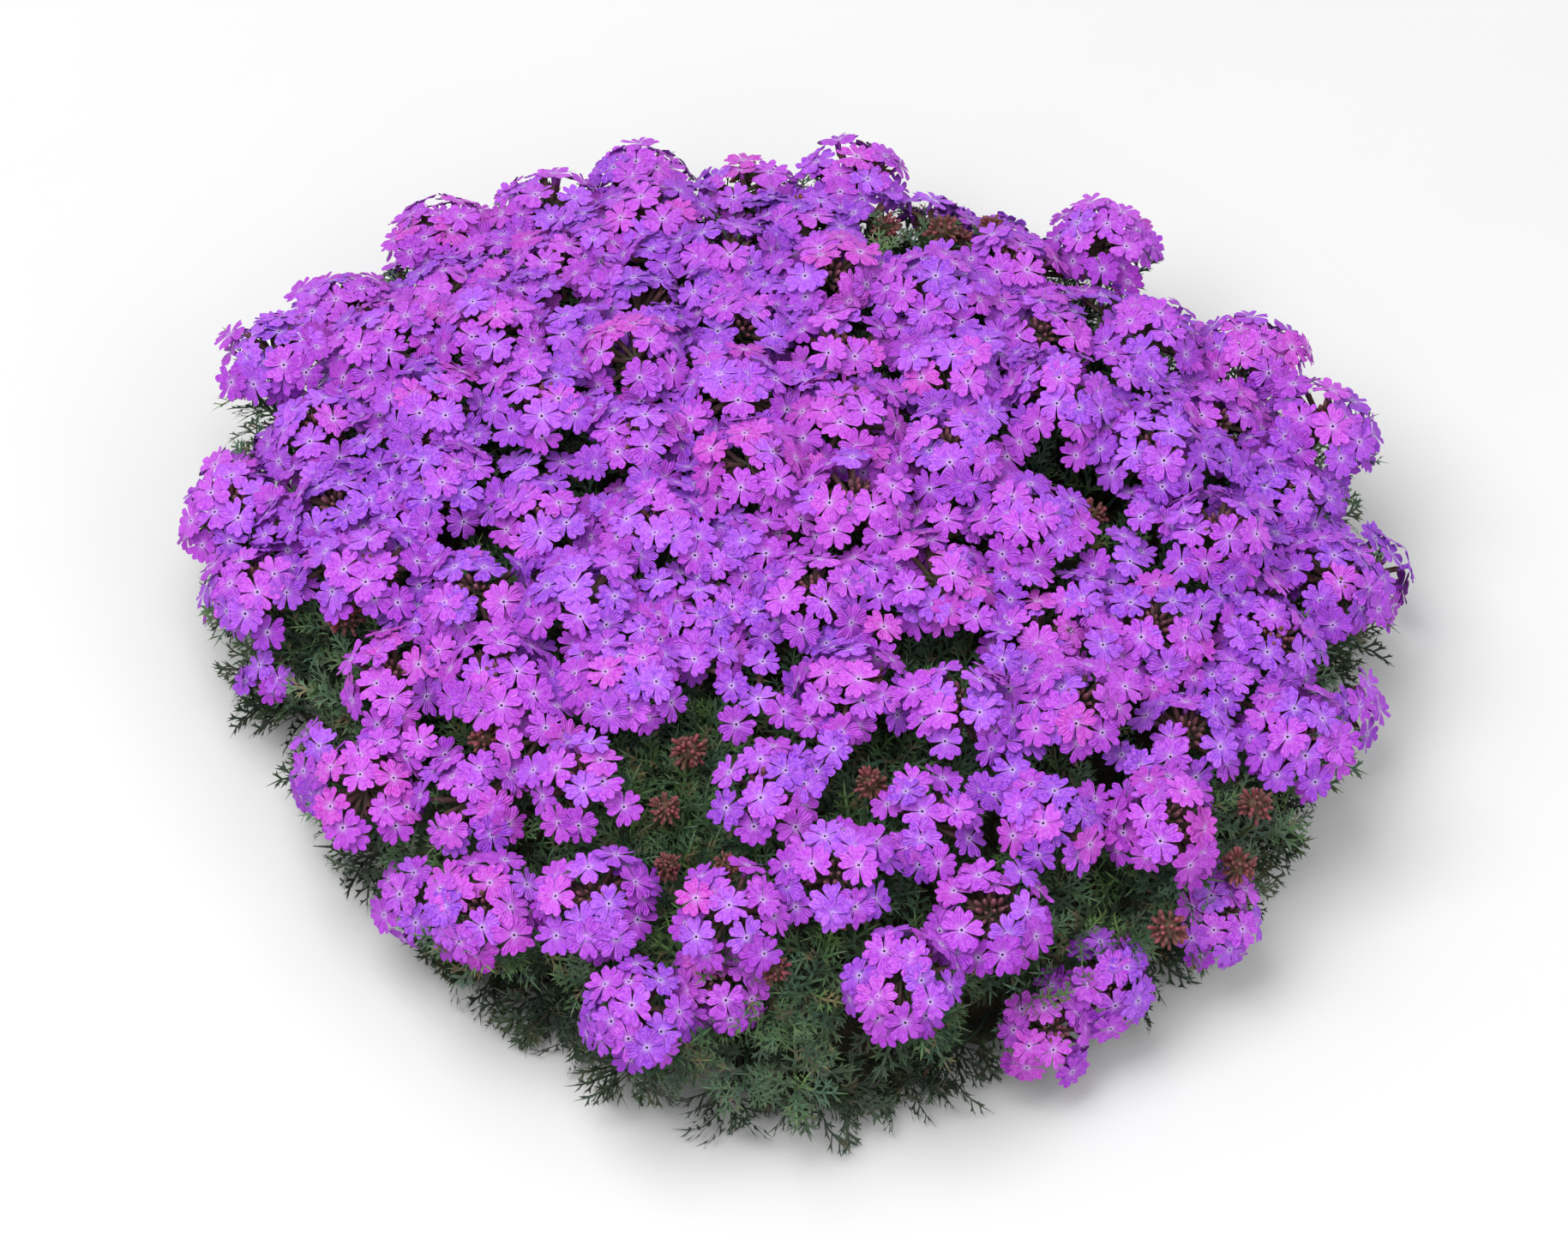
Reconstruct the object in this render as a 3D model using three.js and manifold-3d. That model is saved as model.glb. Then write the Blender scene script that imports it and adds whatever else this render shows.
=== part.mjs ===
// Moss verbena: a low, mat-forming bedding plant, cut free at its crown and resting on a surface.
// Millimetres, +Z up. The origin is the centre of the cut face under the root crown, and +Y points to
// the back of the plant. Prostrate stems radiate from the crown, each under its own cushion of cut
// leaves, and thin flower stalks lift rounded heads of five-petalled florets over the cushion.
import * as THREE from "three";
import { mergeVertices } from "three/addons/utils/BufferGeometryUtils.js";
import Module from "manifold-3d";

const wasm = await Module();
wasm.setup();

// ---- Driving dimensions ----------------------------------------------------------------------------

const MAT_RADIUS = 210; // reach of the mat from the crown, before its outline waves
const PULLED_IN = { towards: -2.45, depth: 0.17, width: 0.55 }; // radians, share of the reach, radians
const CUSHION_RIM = 22; // height of the leaf cushion at its edge
const CUSHION_RISE = 56; // how much higher the cushion is over the crown
const CUSHION_SWELL = 3; // it rolls up and down by this much
const CORE_RISE = 32; // height of the twiggy core over the crown, above its edge
const CORE_EDGE = 4; // thickness of the core at its edge
const CORE_LUMPS = 4; // its top is uneven by this much
const CORE_START = 4; // its sectors start this far from the plant's axis
const CORE_REACH = 0.8; // reach of the core, as a share of the mat's
const SHOOT_HEIGHT = 9; // the short shoots that the core bristles with
const UNDERSIDE = 7; // the core clears the ground by this much

const HEAD_LIFT = 26; // centre of a flower head above the cushion, over the crown
const RIM_LIFT = 14; // and at the rim, where the heads lie low
const HEAD_LEVELS = [0, -7, 7]; // a bunch moves up or down by one of these to clear its neighbours
const HEAD_SIZES = [1, 0.92, 0.84, 0.76]; // and shrinks only where no level clears them
const HEAD_UNEVEN = 4.5; // and its own height varies by this much
const HEAD_SPACING = 38; // least distance between heads that don't grow together
const PAIR_SPACING = 37.5; // distance between two heads that have grown into each other
const PAIR_SEARCH = 44; // heads further apart than this on the spiral don't pair
const HEAD_PITCH = 19.2; // scale of the spiral that spreads the heads over the mat
const HEAD_JITTER = 5;
const EASING_ROUNDS = 80;
const OUTERMOST_HEAD = 0.91; // as a share of the way from the crown to the outline
const RIM_LEAN = 0.42; // heads at the rim lean outwards by this slope
const FRONT_LEAN = 0.13; // and all heads lean to the front by this one
const RANDOM_LEAN = 0.06;

const FLORETS = 5; // open florets round the buds of one head
const FLORET_RADIUS = 10; // a floret, to its petal tips: larger than life, as they have to cover the mat
const FLORET_REACH = 14.2; // a floret's centre from the middle of its head
const FLORET_RISE = 3.9; // and above it
const FLORET_LEAN = 0.4; // a floret's face leans outwards by this angle
const PETAL_TURN = 0.36; // turned so that its petals fit between those of its neighbours
const PETAL_NOTCH = 0.5; // the notches between petals, as a share of the floret's radius
const PETAL_LIFT = 0.6; // petal tips above the notches
const SHOULDER = { radius: 12.2, drop: 5.2 }; // where the tubes of the florets leave the head's flank
const KNOT = { radius: 6.5, rise: 2.6, bud: 6 }; // the knot of buds, and the height of one bud
const SEAT = { radius: 3, drop: 14.2 }; // where a head sits on its stalk

const BUD_HEADS = 8; // young and spent heads, which stand in the clearings
const BUD_HEAD_RADIUS = 7; // to the tips of its buds
const BUD_KNOB_RADIUS = 3.6;
const BUD_SEAT_DROP = 3; // a bud head's flat underside below its centre
const BUD_HEAD_LIFT = 8; // its centre above the cushion, and up to 5 more
const BUD_HEAD_UNEVEN = 5;

const STALK_RADIUS = 1.3;
const STALK_SINK = 5; // a stalk's foot below the top of the core
const STALK_MARGIN = 3.5; // and from the border of its sector
const STEMS = 8; // prostrate main stems, and the sectors of cushion over them
const STEM_RADIUS = 2.4;
const STEM_HEIGHTS = [7, 12, 4, 3, 11]; // a stem's middle line, from beside the crown to its tip
const LEAF_LENGTH = 40;
const LEAF_PITCH = 18.2; // scale of the spiral that spreads the leaves
const LEAF_MARGIN = 3; // a leaf's foot from the border of its sector
const LEAF_TRIES = 8;
const CROWN_RADIUS = 14;
const CROWN_HEIGHT = 13;
const GAP = 0.7; // clearance between a head and its stalk
const SECTOR_GAP = 1; // clearance between neighbouring cores
const EDGE_MARGIN = 0.03; // stems and leaves end inside the core's edge, as a share of the mat's reach
const SLIVER = 0.01; // what is thinner than this is smoothed away where solids are joined
const SEED = 20261;

// Openings in the carpet of heads, where the leaves show: centre x, centre y, half width, half depth.
const CLEARINGS = [
  [53, 142, 21, 13],
  [-92, 73, 11, 18],
  [-32, -102, 22, 34],
  [31, -112, 7, 24],
  [55, -57, 10, 10],
  [121, -144, 26, 14],
  [155, -100, 12, 14],
  [107, 8, 8, 12],
  [-145, -30, 14, 19],
  [-13, 190, 20, 8],
  [110, 97, 8, 8],
  [-97, -5, 6, 12],
  [7, -185, 10, 12],
];
const CLEARING_MARGIN = 9; // heads stand back from a clearing by this much

const GREEN = new THREE.Color(0.09, 0.2, 0.07);
const STEM_BROWN = new THREE.Color(0.27, 0.2, 0.12);
const PURPLE = new THREE.Color(0.56, 0.16, 0.82);
const RUSSET = new THREE.Color(0.5, 0.14, 0.12);

const GOLDEN_ANGLE = Math.PI * (3 - Math.sqrt(5));
const UP = new THREE.Vector3(0, 0, 1);
const point = (x, y, z) => new THREE.Vector3(x, y, z);
const mix = (a, b, t) => a + (b - a) * t;
const steps = (count) => Array.from({ length: count }, (_, k) => k);

// A seeded stream of numbers from 0 to 1.
function seeded(seed) {
  let state = seed >>> 0;
  return () => {
    state = (Math.imul(state, 1664525) + 1013904223) >>> 0;
    return state / 4294967296;
  };
}

// ---- Outline and heights of the mat ----------------------------------------------------------------

// Reach of the mat in a direction: gently waved, and pulled in at the front left.
function matRadius(angle) {
  const from = angle - PULLED_IN.towards;
  const turn = Math.atan2(Math.sin(from), Math.cos(from));
  const pulled = PULLED_IN.depth * Math.exp(-((turn / PULLED_IN.width) ** 2));
  return MAT_RADIUS * (1 + 0.03 * Math.sin(3 * angle + 1) + 0.02 * Math.sin(7 * angle) - pulled);
}

// 0 over the crown, 1 on the outline.
function share(x, y) {
  return Math.sqrt(x * x + y * y) / matRadius(Math.atan2(y, x));
}

// Height of the leaf cushion's tips.
function cushionTop(x, y) {
  const inside = Math.max(0, 1 - share(x, y) ** 3);
  const swell = CUSHION_SWELL * Math.sin(x / 31 + 1) * Math.cos(y / 27);
  return CUSHION_RIM + CUSHION_RISE * inside ** 0.7 + swell;
}

// Below 1 inside a clearing that is widened by a margin.
function clearingShare(x, y, margin) {
  return Math.min(
    ...CLEARINGS.map(
      ([cx, cy, rx, ry]) => ((x - cx) / (rx + margin)) ** 2 + ((y - cy) / (ry + margin)) ** 2,
    ),
  );
}

// ---- Places of the flower heads --------------------------------------------------------------------

const distance = (a, b) => Math.sqrt((a.x - b.x) ** 2 + (a.y - b.y) ** 2);

// Heads on a sunflower spiral, matched in pairs, then eased apart until they are spread evenly.
function layOutHeads() {
  const random = seeded(SEED);
  const heads = [];
  const radiusOf = (n) => HEAD_PITCH * Math.sqrt(n + 0.5);
  for (let n = 0; radiusOf(n) < 1.1 * MAT_RADIUS; n++) {
    const r = radiusOf(n);
    const x = r * Math.cos(n * GOLDEN_ANGLE) + HEAD_JITTER * (random() - 0.5);
    const y = r * Math.sin(n * GOLDEN_ANGLE) + HEAD_JITTER * (random() - 0.5);
    const head = { x, y, rise: random(), leanX: random(), leanY: random(), spin: random(), mate: null };
    if (share(x, y) < OUTERMOST_HEAD && clearingShare(x, y, CLEARING_MARGIN) > 1) heads.push(head);
  }
  pairHeads(heads);
  for (let round = 0; round < EASING_ROUNDS; round++) easeApart(heads);
  heads.forEach(drawTogether);
  heads.forEach(finishHead);
  return heads;
}

// Each head, from the rim inwards, takes its nearest free neighbour as its partner.
function pairHeads(heads) {
  for (let i = heads.length - 1; i > 0; i--) {
    if (heads[i].mate) continue;
    let best = null;
    for (const other of heads) {
      const free = other !== heads[i] && !other.mate && distance(other, heads[i]) < PAIR_SEARCH;
      if (free && (!best || distance(other, heads[i]) < distance(best, heads[i]))) best = other;
    }
    if (!best) continue;
    heads[i].mate = best;
    best.mate = heads[i];
  }
}

function easeApart(heads) {
  for (let i = 0; i < heads.length; i++) {
    for (let j = i + 1; j < heads.length; j++) {
      const [a, b] = [heads[i], heads[j]];
      const apart = distance(a, b);
      const mates = a.mate === b;
      const wanted = mates ? PAIR_SPACING : HEAD_SPACING;
      if (!mates && apart >= wanted) continue;
      const push = (0.5 * (wanted - apart)) / apart;
      const [dx, dy] = [(b.x - a.x) * push, (b.y - a.y) * push];
      a.x -= dx;
      a.y -= dy;
      b.x += dx;
      b.y += dy;
    }
  }
  for (const head of heads) {
    const over = share(head.x, head.y) - OUTERMOST_HEAD;
    if (over <= 0) continue;
    head.x *= 1 - over;
    head.y *= 1 - over;
  }
}

// Brings a head and its partner to the distance at which they have grown into each other.
function drawTogether(head) {
  const { mate } = head;
  if (!mate) return;
  const far = 0.5 * (PAIR_SPACING / distance(head, mate) - 1);
  const [dx, dy] = [(head.x - mate.x) * far, (head.y - mate.y) * far];
  head.x += dx;
  head.y += dy;
  mate.x -= dx;
  mate.y -= dy;
}

// A head's height and the way it faces. Mates share one tilted plane.
function finishHead(head) {
  const mate = head.mate ?? head;
  const [x, y] = [0.5 * (head.x + mate.x), 0.5 * (head.y + mate.y)];
  const lift = mix(HEAD_LIFT, RIM_LIFT, share(x, y) ** 3);
  const z = cushionTop(x, y) + lift + HEAD_UNEVEN * (head.rise + mate.rise - 1);
  const leanX = outwardLean(x, y, x) + RANDOM_LEAN * (head.leanX + mate.leanX - 1);
  const leanY = outwardLean(x, y, y) + RANDOM_LEAN * (head.leanY + mate.leanY - 1) - FRONT_LEAN;
  head.centre = point(head.x, head.y, z - leanX * (head.x - x) - leanY * (head.y - y));
  head.axis = point(leanX, leanY, 1).normalize();
  head.size = 1;
  head.turn = head.mate ? Math.atan2(mate.y - head.y, mate.x - head.x) : 2 * Math.PI * head.spin;
}

// Heads lean outwards, and more so at the rim: this is the lean along one coordinate.
function outwardLean(x, y, along) {
  return (RIM_LEAN * share(x, y) ** 3 * along) / Math.max(1, Math.sqrt(x * x + y * y));
}

// Bud heads stand in the largest clearings, a little off their middles.
function layOutBudHeads() {
  const random = seeded(SEED + 1);
  const largest = [...CLEARINGS].sort((a, b) => b[2] * b[3] - a[2] * a[3]);
  return steps(BUD_HEADS).map((n) => {
    const [cx, cy, rx, ry] = largest[n];
    const x = cx + 0.25 * rx * (1 + 0.4 * random());
    const y = cy + 0.25 * ry * (1 + 0.4 * random());
    const z = cushionTop(x, y) + BUD_HEAD_LIFT + BUD_HEAD_UNEVEN * random();
    const axis = point(0.3 * (random() - 0.5), 0.3 * (random() - 0.5), 1).normalize();
    return { x, y, centre: point(x, y, z), axis, size: 0.85 + 0.15 * random(), turn: random() };
  });
}

// ---- Solids ----------------------------------------------------------------------------------------

// A closed solid from points and triangles that face out.
function solidOf(points, faces) {
  return new wasm.Manifold(
    new wasm.Mesh({
      numProp: 3,
      vertProperties: new Float32Array(points.flatMap((p) => [p.x, p.y, p.z])),
      triVerts: new Uint32Array(faces.flat()),
    }),
  );
}

// A closed three.js geometry as a solid.
function solidOfGeometry(geometry) {
  const bare = geometry.clone();
  bare.deleteAttribute("normal");
  bare.deleteAttribute("uv");
  const merged = mergeVertices(bare, 1e-3);
  return new wasm.Manifold(
    new wasm.Mesh({
      numProp: 3,
      vertProperties: merged.attributes.position.array,
      triVerts: new Uint32Array(merged.index.array),
    }),
  );
}

const numbered = (name, n) => name + "_" + String(n + 1).padStart(2, "0");
const union = (solids) => solids.reduce((whole, next) => whole.add(next)).simplify(SLIVER);

// True when a solid crosses none of the others.
function isClear(solid, others) {
  const { min, max } = solid.boundingBox();
  return others.every((other) => {
    const box = other.boundingBox();
    const apart = [0, 1, 2].some((k) => min[k] > box.max[k] || max[k] < box.min[k]);
    return apart || solid.intersect(other).volume() < 1e-6;
  });
}

function meshOf(solid, name, color, roughness) {
  const { vertProperties, triVerts } = solid.getMesh();
  const geometry = new THREE.BufferGeometry();
  geometry.setAttribute("position", new THREE.BufferAttribute(new Float32Array(vertProperties), 3));
  geometry.setIndex(new THREE.BufferAttribute(new Uint32Array(triVerts), 1));
  geometry.computeVertexNormals();
  const material = new THREE.MeshStandardMaterial({ color, roughness, metalness: 0 });
  const mesh = new THREE.Mesh(geometry, material);
  mesh.name = name;
  return mesh;
}

// The frame that stands at a place with its third axis along a direction, turned about it.
function frameAt(place, axis, turn, size) {
  const side = point(Math.cos(turn), Math.sin(turn), 0);
  const y = axis.clone().cross(side).normalize();
  const x = y.clone().cross(axis);
  const frame = new THREE.Matrix4().makeBasis(x, y, axis).setPosition(place);
  return frame.scale(point(size, size, size));
}

const placed = (shape, frame) =>
  solidOf(
    shape.points.map((p) => p.clone().applyMatrix4(frame)),
    shape.faces,
  );

// A straight three-sided stalk between two points.
function stalkSolid(foot, top) {
  const along = top.clone().sub(foot);
  const geometry = new THREE.CylinderGeometry(STALK_RADIUS, STALK_RADIUS, along.length(), 3);
  geometry.rotateX(Math.PI / 2);
  geometry.translate(0, 0, along.length() / 2);
  geometry.applyMatrix4(frameAt(foot, along.normalize(), 0, 1));
  return solidOfGeometry(geometry);
}

// The face of a floret or a cut leaf: a loop of inner points with one tip beyond each side.
function lobedFace(inner, tips) {
  const fan = steps(inner.length - 2).map((k) => [inner[0], inner[k + 1], inner[k + 2]]);
  return [...fan, ...tips.map((tip, k) => [inner[k], tip, inner[(k + 1) % inner.length]])];
}

// The wall between a low loop and a high loop, both anticlockwise from above, joined by angle.
function stitch(low, high, angleOf) {
  const full = 2 * Math.PI;
  const start = angleOf(low[0]);
  const turnTo = (k) => (((angleOf(k) - start) % full) + full) % full;
  const first = high.reduce((best, k, n) => (turnTo(k) < turnTo(high[best]) ? n : best), 0);
  const loop = [...high.slice(first), ...high.slice(0, first)];
  const turns = (list) => [...list.map(turnTo), full + turnTo(list[0])];
  const [lows, highs] = [[...low, low[0]], [...loop, loop[0]]];
  const [lowTurns, highTurns] = [turns(low), turns(loop)];
  const faces = [];
  let [i, j] = [0, 0];
  while (i < low.length || j < loop.length) {
    const lowNext = i < low.length ? lowTurns[i + 1] : Infinity;
    const highNext = j < loop.length ? highTurns[j + 1] : Infinity;
    if (lowNext <= highNext) faces.push([lows[i], lows[++i], highs[j]]);
    else faces.push([lows[i], highs[j + 1], highs[j++]]);
  }
  return faces;
}

// ---- Flower heads ----------------------------------------------------------------------------------

// One head at its own origin, with its axis up: florets raised from the flanks of a small core, buds
// raised from its crown, and below them the taper down to its seat on the stalk.
function headShape() {
  const points = [];
  const put = (p) => points.push(p) - 1;
  const ring = (radius, z, count) =>
    steps(count).map((k) => {
      const angle = (2 * Math.PI * k) / count - Math.PI / FLORETS;
      return put(point(radius * Math.cos(angle), radius * Math.sin(angle), z));
    });
  const seat = ring(SEAT.radius, -SEAT.drop, 3);
  const shoulder = ring(SHOULDER.radius, -SHOULDER.drop, FLORETS);
  const crown = ring(KNOT.radius, 0, FLORETS);
  const heart = put(point(0, 0, KNOT.rise));
  const faces = [[seat[0], seat[2], seat[1]]];
  faces.push(...stitch(seat, shoulder, (k) => Math.atan2(points[k].y, points[k].x)));
  for (let k = 0; k < FLORETS; k++) {
    const next = (k + 1) % FLORETS;
    const bud = [crown[k], crown[next], heart];
    faces.push(...(k % 2 ? [bud] : peakFaces(points, bud, KNOT.bud, UP)));
    const base = [shoulder[k], shoulder[next], crown[next], crown[k]];
    faces.push(...floretFaces(points, base, (2 * Math.PI * k) / FLORETS));
  }
  return { points, faces };
}

// A bud: a pointed peak on one triangle of a core.
function peakFaces(points, [a, b, c], height, direction) {
  const middle = points[a].clone().add(points[b]).add(points[c]).divideScalar(3);
  const tip = points.push(middle.addScaledVector(direction, height)) - 1;
  return [
    [a, b, tip],
    [b, c, tip],
    [c, a, tip],
  ];
}

// A floret: a flared tube from four points of the core up to a five-petalled face that leans outwards.
function floretFaces(points, base, azimuth) {
  const out = point(Math.cos(azimuth), Math.sin(azimuth), 0);
  const side = point(-Math.sin(azimuth), Math.cos(azimuth), 0);
  const normal = UP.clone().applyAxisAngle(side, FLORET_LEAN);
  const across = side.clone().cross(normal);
  const centre = out.clone().multiplyScalar(FLORET_REACH).addScaledVector(UP, FLORET_RISE);
  const at = (reach, angle, lift) =>
    centre
      .clone()
      .addScaledVector(across, reach * Math.cos(angle))
      .addScaledVector(side, reach * Math.sin(angle))
      .addScaledVector(normal, lift);
  const angleOf = (k) => {
    const from = points[k].clone().sub(centre);
    return Math.atan2(from.dot(side), from.dot(across));
  };
  const put = (p) => points.push(p) - 1;
  const notchAngles = steps(5).map((k) => PETAL_TURN + (2 * Math.PI * k) / 5);
  const notches = notchAngles.map((angle) => put(at(PETAL_NOTCH * FLORET_RADIUS, angle, 0)));
  const tips = notchAngles.map((angle) => put(at(FLORET_RADIUS, angle + Math.PI / 5, PETAL_LIFT)));
  const rim = notches.flatMap((k, n) => [k, tips[n]]);
  return [...lobedFace(notches, tips), ...stitch(base, rim, angleOf)];
}

const placeOf = (head) => frameAt(head.centre, head.axis, head.turn, head.size);

// The solid of each bunch, raised, lowered or shrunk where it would cross another.
function settle(bunches, shape, others) {
  const settled = [];
  const choices = HEAD_SIZES.flatMap((size) => HEAD_LEVELS.map((level) => ({ size, level })));
  for (const bunch of bunches) {
    const fits = choices.find(({ size, level }) => {
      const moved = bunch.map((head) => moveHead(head, size, level));
      const solid = union(moved.map((head) => placed(shape, placeOf(head))));
      if (!isClear(solid, [...others, ...settled])) return false;
      settled.push(solid);
      return true;
    });
    if (!fits) throw new Error("a bunch of heads has no room");
    bunch.forEach((head) => Object.assign(head, moveHead(head, fits.size, fits.level)));
  }
  return settled;
}

const moveHead = (head, size, level) => ({
  ...head,
  size: size * head.size,
  centre: head.centre.clone().addScaledVector(UP, level),
});

// A young or spent head: a small knob that bristles with buds above, and is flat where it sits.
function budHeadShape() {
  const ball = new THREE.IcosahedronGeometry(BUD_KNOB_RADIUS, 0);
  ball.deleteAttribute("normal");
  ball.deleteAttribute("uv");
  const { attributes, index } = mergeVertices(ball, 1e-3);
  const corner = (k) => point(0, 0, 0).fromBufferAttribute(attributes.position, k);
  const points = steps(attributes.position.count).map(corner);
  const middleOf = (face) => face.reduce((sum, k) => sum.add(points[k]), point(0, 0, 0)).divideScalar(3);
  const triangles = steps(index.count / 3).map((k) => [...index.array.slice(3 * k, 3 * k + 3)]);
  const under = middleOf(triangles[0]).normalize();
  const upright = new THREE.Quaternion().setFromUnitVectors(under, point(0, 0, -1));
  points.forEach((p) => p.applyQuaternion(upright));
  const faces = triangles.flatMap((face) => {
    const middle = middleOf(face);
    if (middle.z < -0.25 * BUD_KNOB_RADIUS) return [face];
    return peakFaces(points, face, BUD_HEAD_RADIUS - middle.length(), middle.normalize());
  });
  return { points, faces };
}

// ---- Leafy stems -----------------------------------------------------------------------------------

const RINGS = 6; // cross-lines of one sector of the core, from the crown to the rim
const COLUMNS = 3; // points along each cross-line

// Angle of the wavy line between sector n - 1 and sector n at a share of the way to the rim.
function borderAngle(n, along) {
  const phase = 2.3 * (n % STEMS);
  const wave = 0.13 * Math.sin(9 * along + phase) + 0.05 * Math.sin(21 * along + 2 * phase);
  return (2 * Math.PI * n) / STEMS + 0.2 + wave * Math.min(1, 3 * along);
}

// Height of the core's underside: over the crown at the middle, and close to the ground elsewhere.
function underside(r) {
  return UNDERSIDE + (CROWN_HEIGHT + 2 - UNDERSIDE) * Math.max(0, 1 - Math.max(0, r - 12) / 34);
}

// Height of the core before it is made lumpy.
function coreTop(x, y) {
  const inside = Math.max(0, 1 - (share(x, y) / CORE_REACH) ** 2.5);
  return UNDERSIDE + CORE_EDGE + CORE_RISE * inside;
}

// The twiggy core under the leaves of one sector: a low wedge that bristles with short shoots.
function coreSolid(n, random) {
  const points = [];
  const put = (p) => points.push(p) - 1;
  const top = [];
  const bottom = [];
  for (const ring of steps(RINGS)) {
    const along = (ring / (RINGS - 1)) ** 0.9;
    const [right, left] = [borderAngle(n, along), borderAngle(n + 1, along)];
    const row = steps(COLUMNS).map((column) => {
      const across = column / (COLUMNS - 1);
      const angle = mix(right, left, across);
      const r = mix(CORE_START, CORE_REACH * matRadius(angle), along);
      const inset = (0.5 * SECTOR_GAP * (1 - 2 * across)) / r;
      const [x, y] = [r * Math.cos(angle + inset), r * Math.sin(angle + inset)];
      const lump = ring > 0 && ring < RINGS - 1 ? CORE_LUMPS * (2 * random() - 1) : 0;
      return point(x, y, Math.max(underside(r) + CORE_EDGE, coreTop(x, y) + lump));
    });
    top.push(row.map(put));
    const ends = [row[0], row[COLUMNS - 1]];
    bottom.push(ends.map((p) => put(point(p.x, p.y, underside(Math.sqrt(p.x * p.x + p.y * p.y))))));
  }
  const faces = [];
  const quad = (a, b, c, d) => faces.push([a, b, c], [a, c, d]);
  const shoot = (...face) => {
    const from = points[face[0]];
    const tilt = point(from.x, from.y, 0).multiplyScalar(0.8 / MAT_RADIUS).add(UP).normalize();
    faces.push(...peakFaces(points, face, SHOOT_HEIGHT * (0.6 + 0.8 * random()), tilt));
  };
  for (let ring = 0; ring < RINGS - 1; ring++) {
    const [t0, t1, b0, b1] = [top[ring], top[ring + 1], bottom[ring], bottom[ring + 1]];
    for (let k = 0; k < COLUMNS - 1; k++) {
      shoot(t0[k], t1[k], t1[k + 1]);
      shoot(t0[k], t1[k + 1], t0[k + 1]);
    }
    quad(b0[0], b0[1], b1[1], b1[0]);
    quad(b0[0], b1[0], t1[0], t0[0]);
    quad(t0[COLUMNS - 1], t1[COLUMNS - 1], b1[1], b0[1]);
  }
  const closeEnd = ([right, left], row, flip) => {
    const end = [[right, left, row[0]], ...steps(COLUMNS - 1).map((k) => [left, row[k + 1], row[k]])];
    end.forEach((face) => faces.push(flip ? face.reverse() : face));
  };
  closeEnd(bottom[0], top[0], true);
  closeEnd(bottom[RINGS - 1], top[RINGS - 1], false);
  return solidOf(points, faces);
}

// The prostrate stem under one sector: along the ground from beside the crown, and up into the core.
function stemSolid(n) {
  const angle = mix(borderAngle(n, 0.5), borderAngle(n + 1, 0.5), 0.5);
  const out = point(Math.cos(angle), Math.sin(angle), 0);
  const [near, far] = [CROWN_RADIUS + 4, (CORE_REACH - EDGE_MARGIN) * matRadius(angle)];
  const last = STEM_HEIGHTS.length - 1;
  const path = STEM_HEIGHTS.map((z, k) => out.clone().multiplyScalar(mix(near, far, k / last)).setZ(z));
  const half = STEM_RADIUS * Math.SQRT1_2;
  const corners = [point(-half, -half), point(half, -half), point(half, half), point(-half, half)];
  const section = new THREE.Shape(corners);
  const extrudePath = new THREE.CatmullRomCurve3(path);
  const stem = solidOfGeometry(new THREE.ExtrudeGeometry(section, { steps: last, extrudePath }));
  return stem.translate([0, 0, -stem.boundingBox().min[2]]);
}

// One cut leaf along +X at its own origin, with its foot sunk behind it: a flat face of six lobes, one
// of them the foot, over a keel.
function leafShape() {
  const u = LEAF_LENGTH / 29;
  const inner = [
    [8, -1.4, 0.4],
    [15, -1.5, 0.6],
    [20.5, -1.3, 0.3],
    [20.5, 1.3, 0.3],
    [15, 1.5, 0.6],
    [8, 1.4, 0.4],
  ];
  const tips = [
    [15, -9, -0.8],
    [23, -7.5, -1.4],
    [29, 0, -1],
    [23, 7.5, -1.4],
    [15, 9, -0.8],
    [-3, 0, -0.5],
  ];
  const points = [...inner, ...tips, [13.7, 0, -2.6]].map(([x, y, z]) => point(x * u, y * u, z * u));
  const rim = steps(6).flatMap((k) => [k, 6 + k]);
  const keel = rim.map((k, n) => [rim[(n + 1) % 12], k, 12]);
  return { points, faces: [...lobedFace(steps(6), steps(6).map((k) => 6 + k)), ...keel] };
}

const LEAF = leafShape();

// The sector a place is in, how far inside the nearer of its two borders, and which way is further in.
function sectorAt(x, y) {
  const angle = Math.atan2(y, x);
  const r = Math.sqrt(x * x + y * y);
  const along = (r - CORE_START) / (CORE_REACH * matRadius(angle) - CORE_START);
  const full = 2 * Math.PI;
  const turn = (from, to) => (((to - from) % full) + full) % full;
  const borders = (n) => [borderAngle(n, along), borderAngle(n + 1, along)];
  const n = steps(STEMS).find((k) => turn(borders(k)[0], angle) <= borders(k)[1] - borders(k)[0]);
  const [after, before] = [turn(borders(n)[0], angle), turn(angle, borders(n)[1])];
  return { n, inside: r * Math.min(after, before), inwards: after < before ? 1 : -1 };
}

// Height of a core's top over a place, or nothing beside it.
function coreHeight(core, x, y) {
  const ray = new THREE.Raycaster(point(x, y, MAT_RADIUS), point(0, 0, -1));
  return ray.intersectObject(meshOf(core, "core", GREEN, 1))[0]?.point.z;
}

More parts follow.
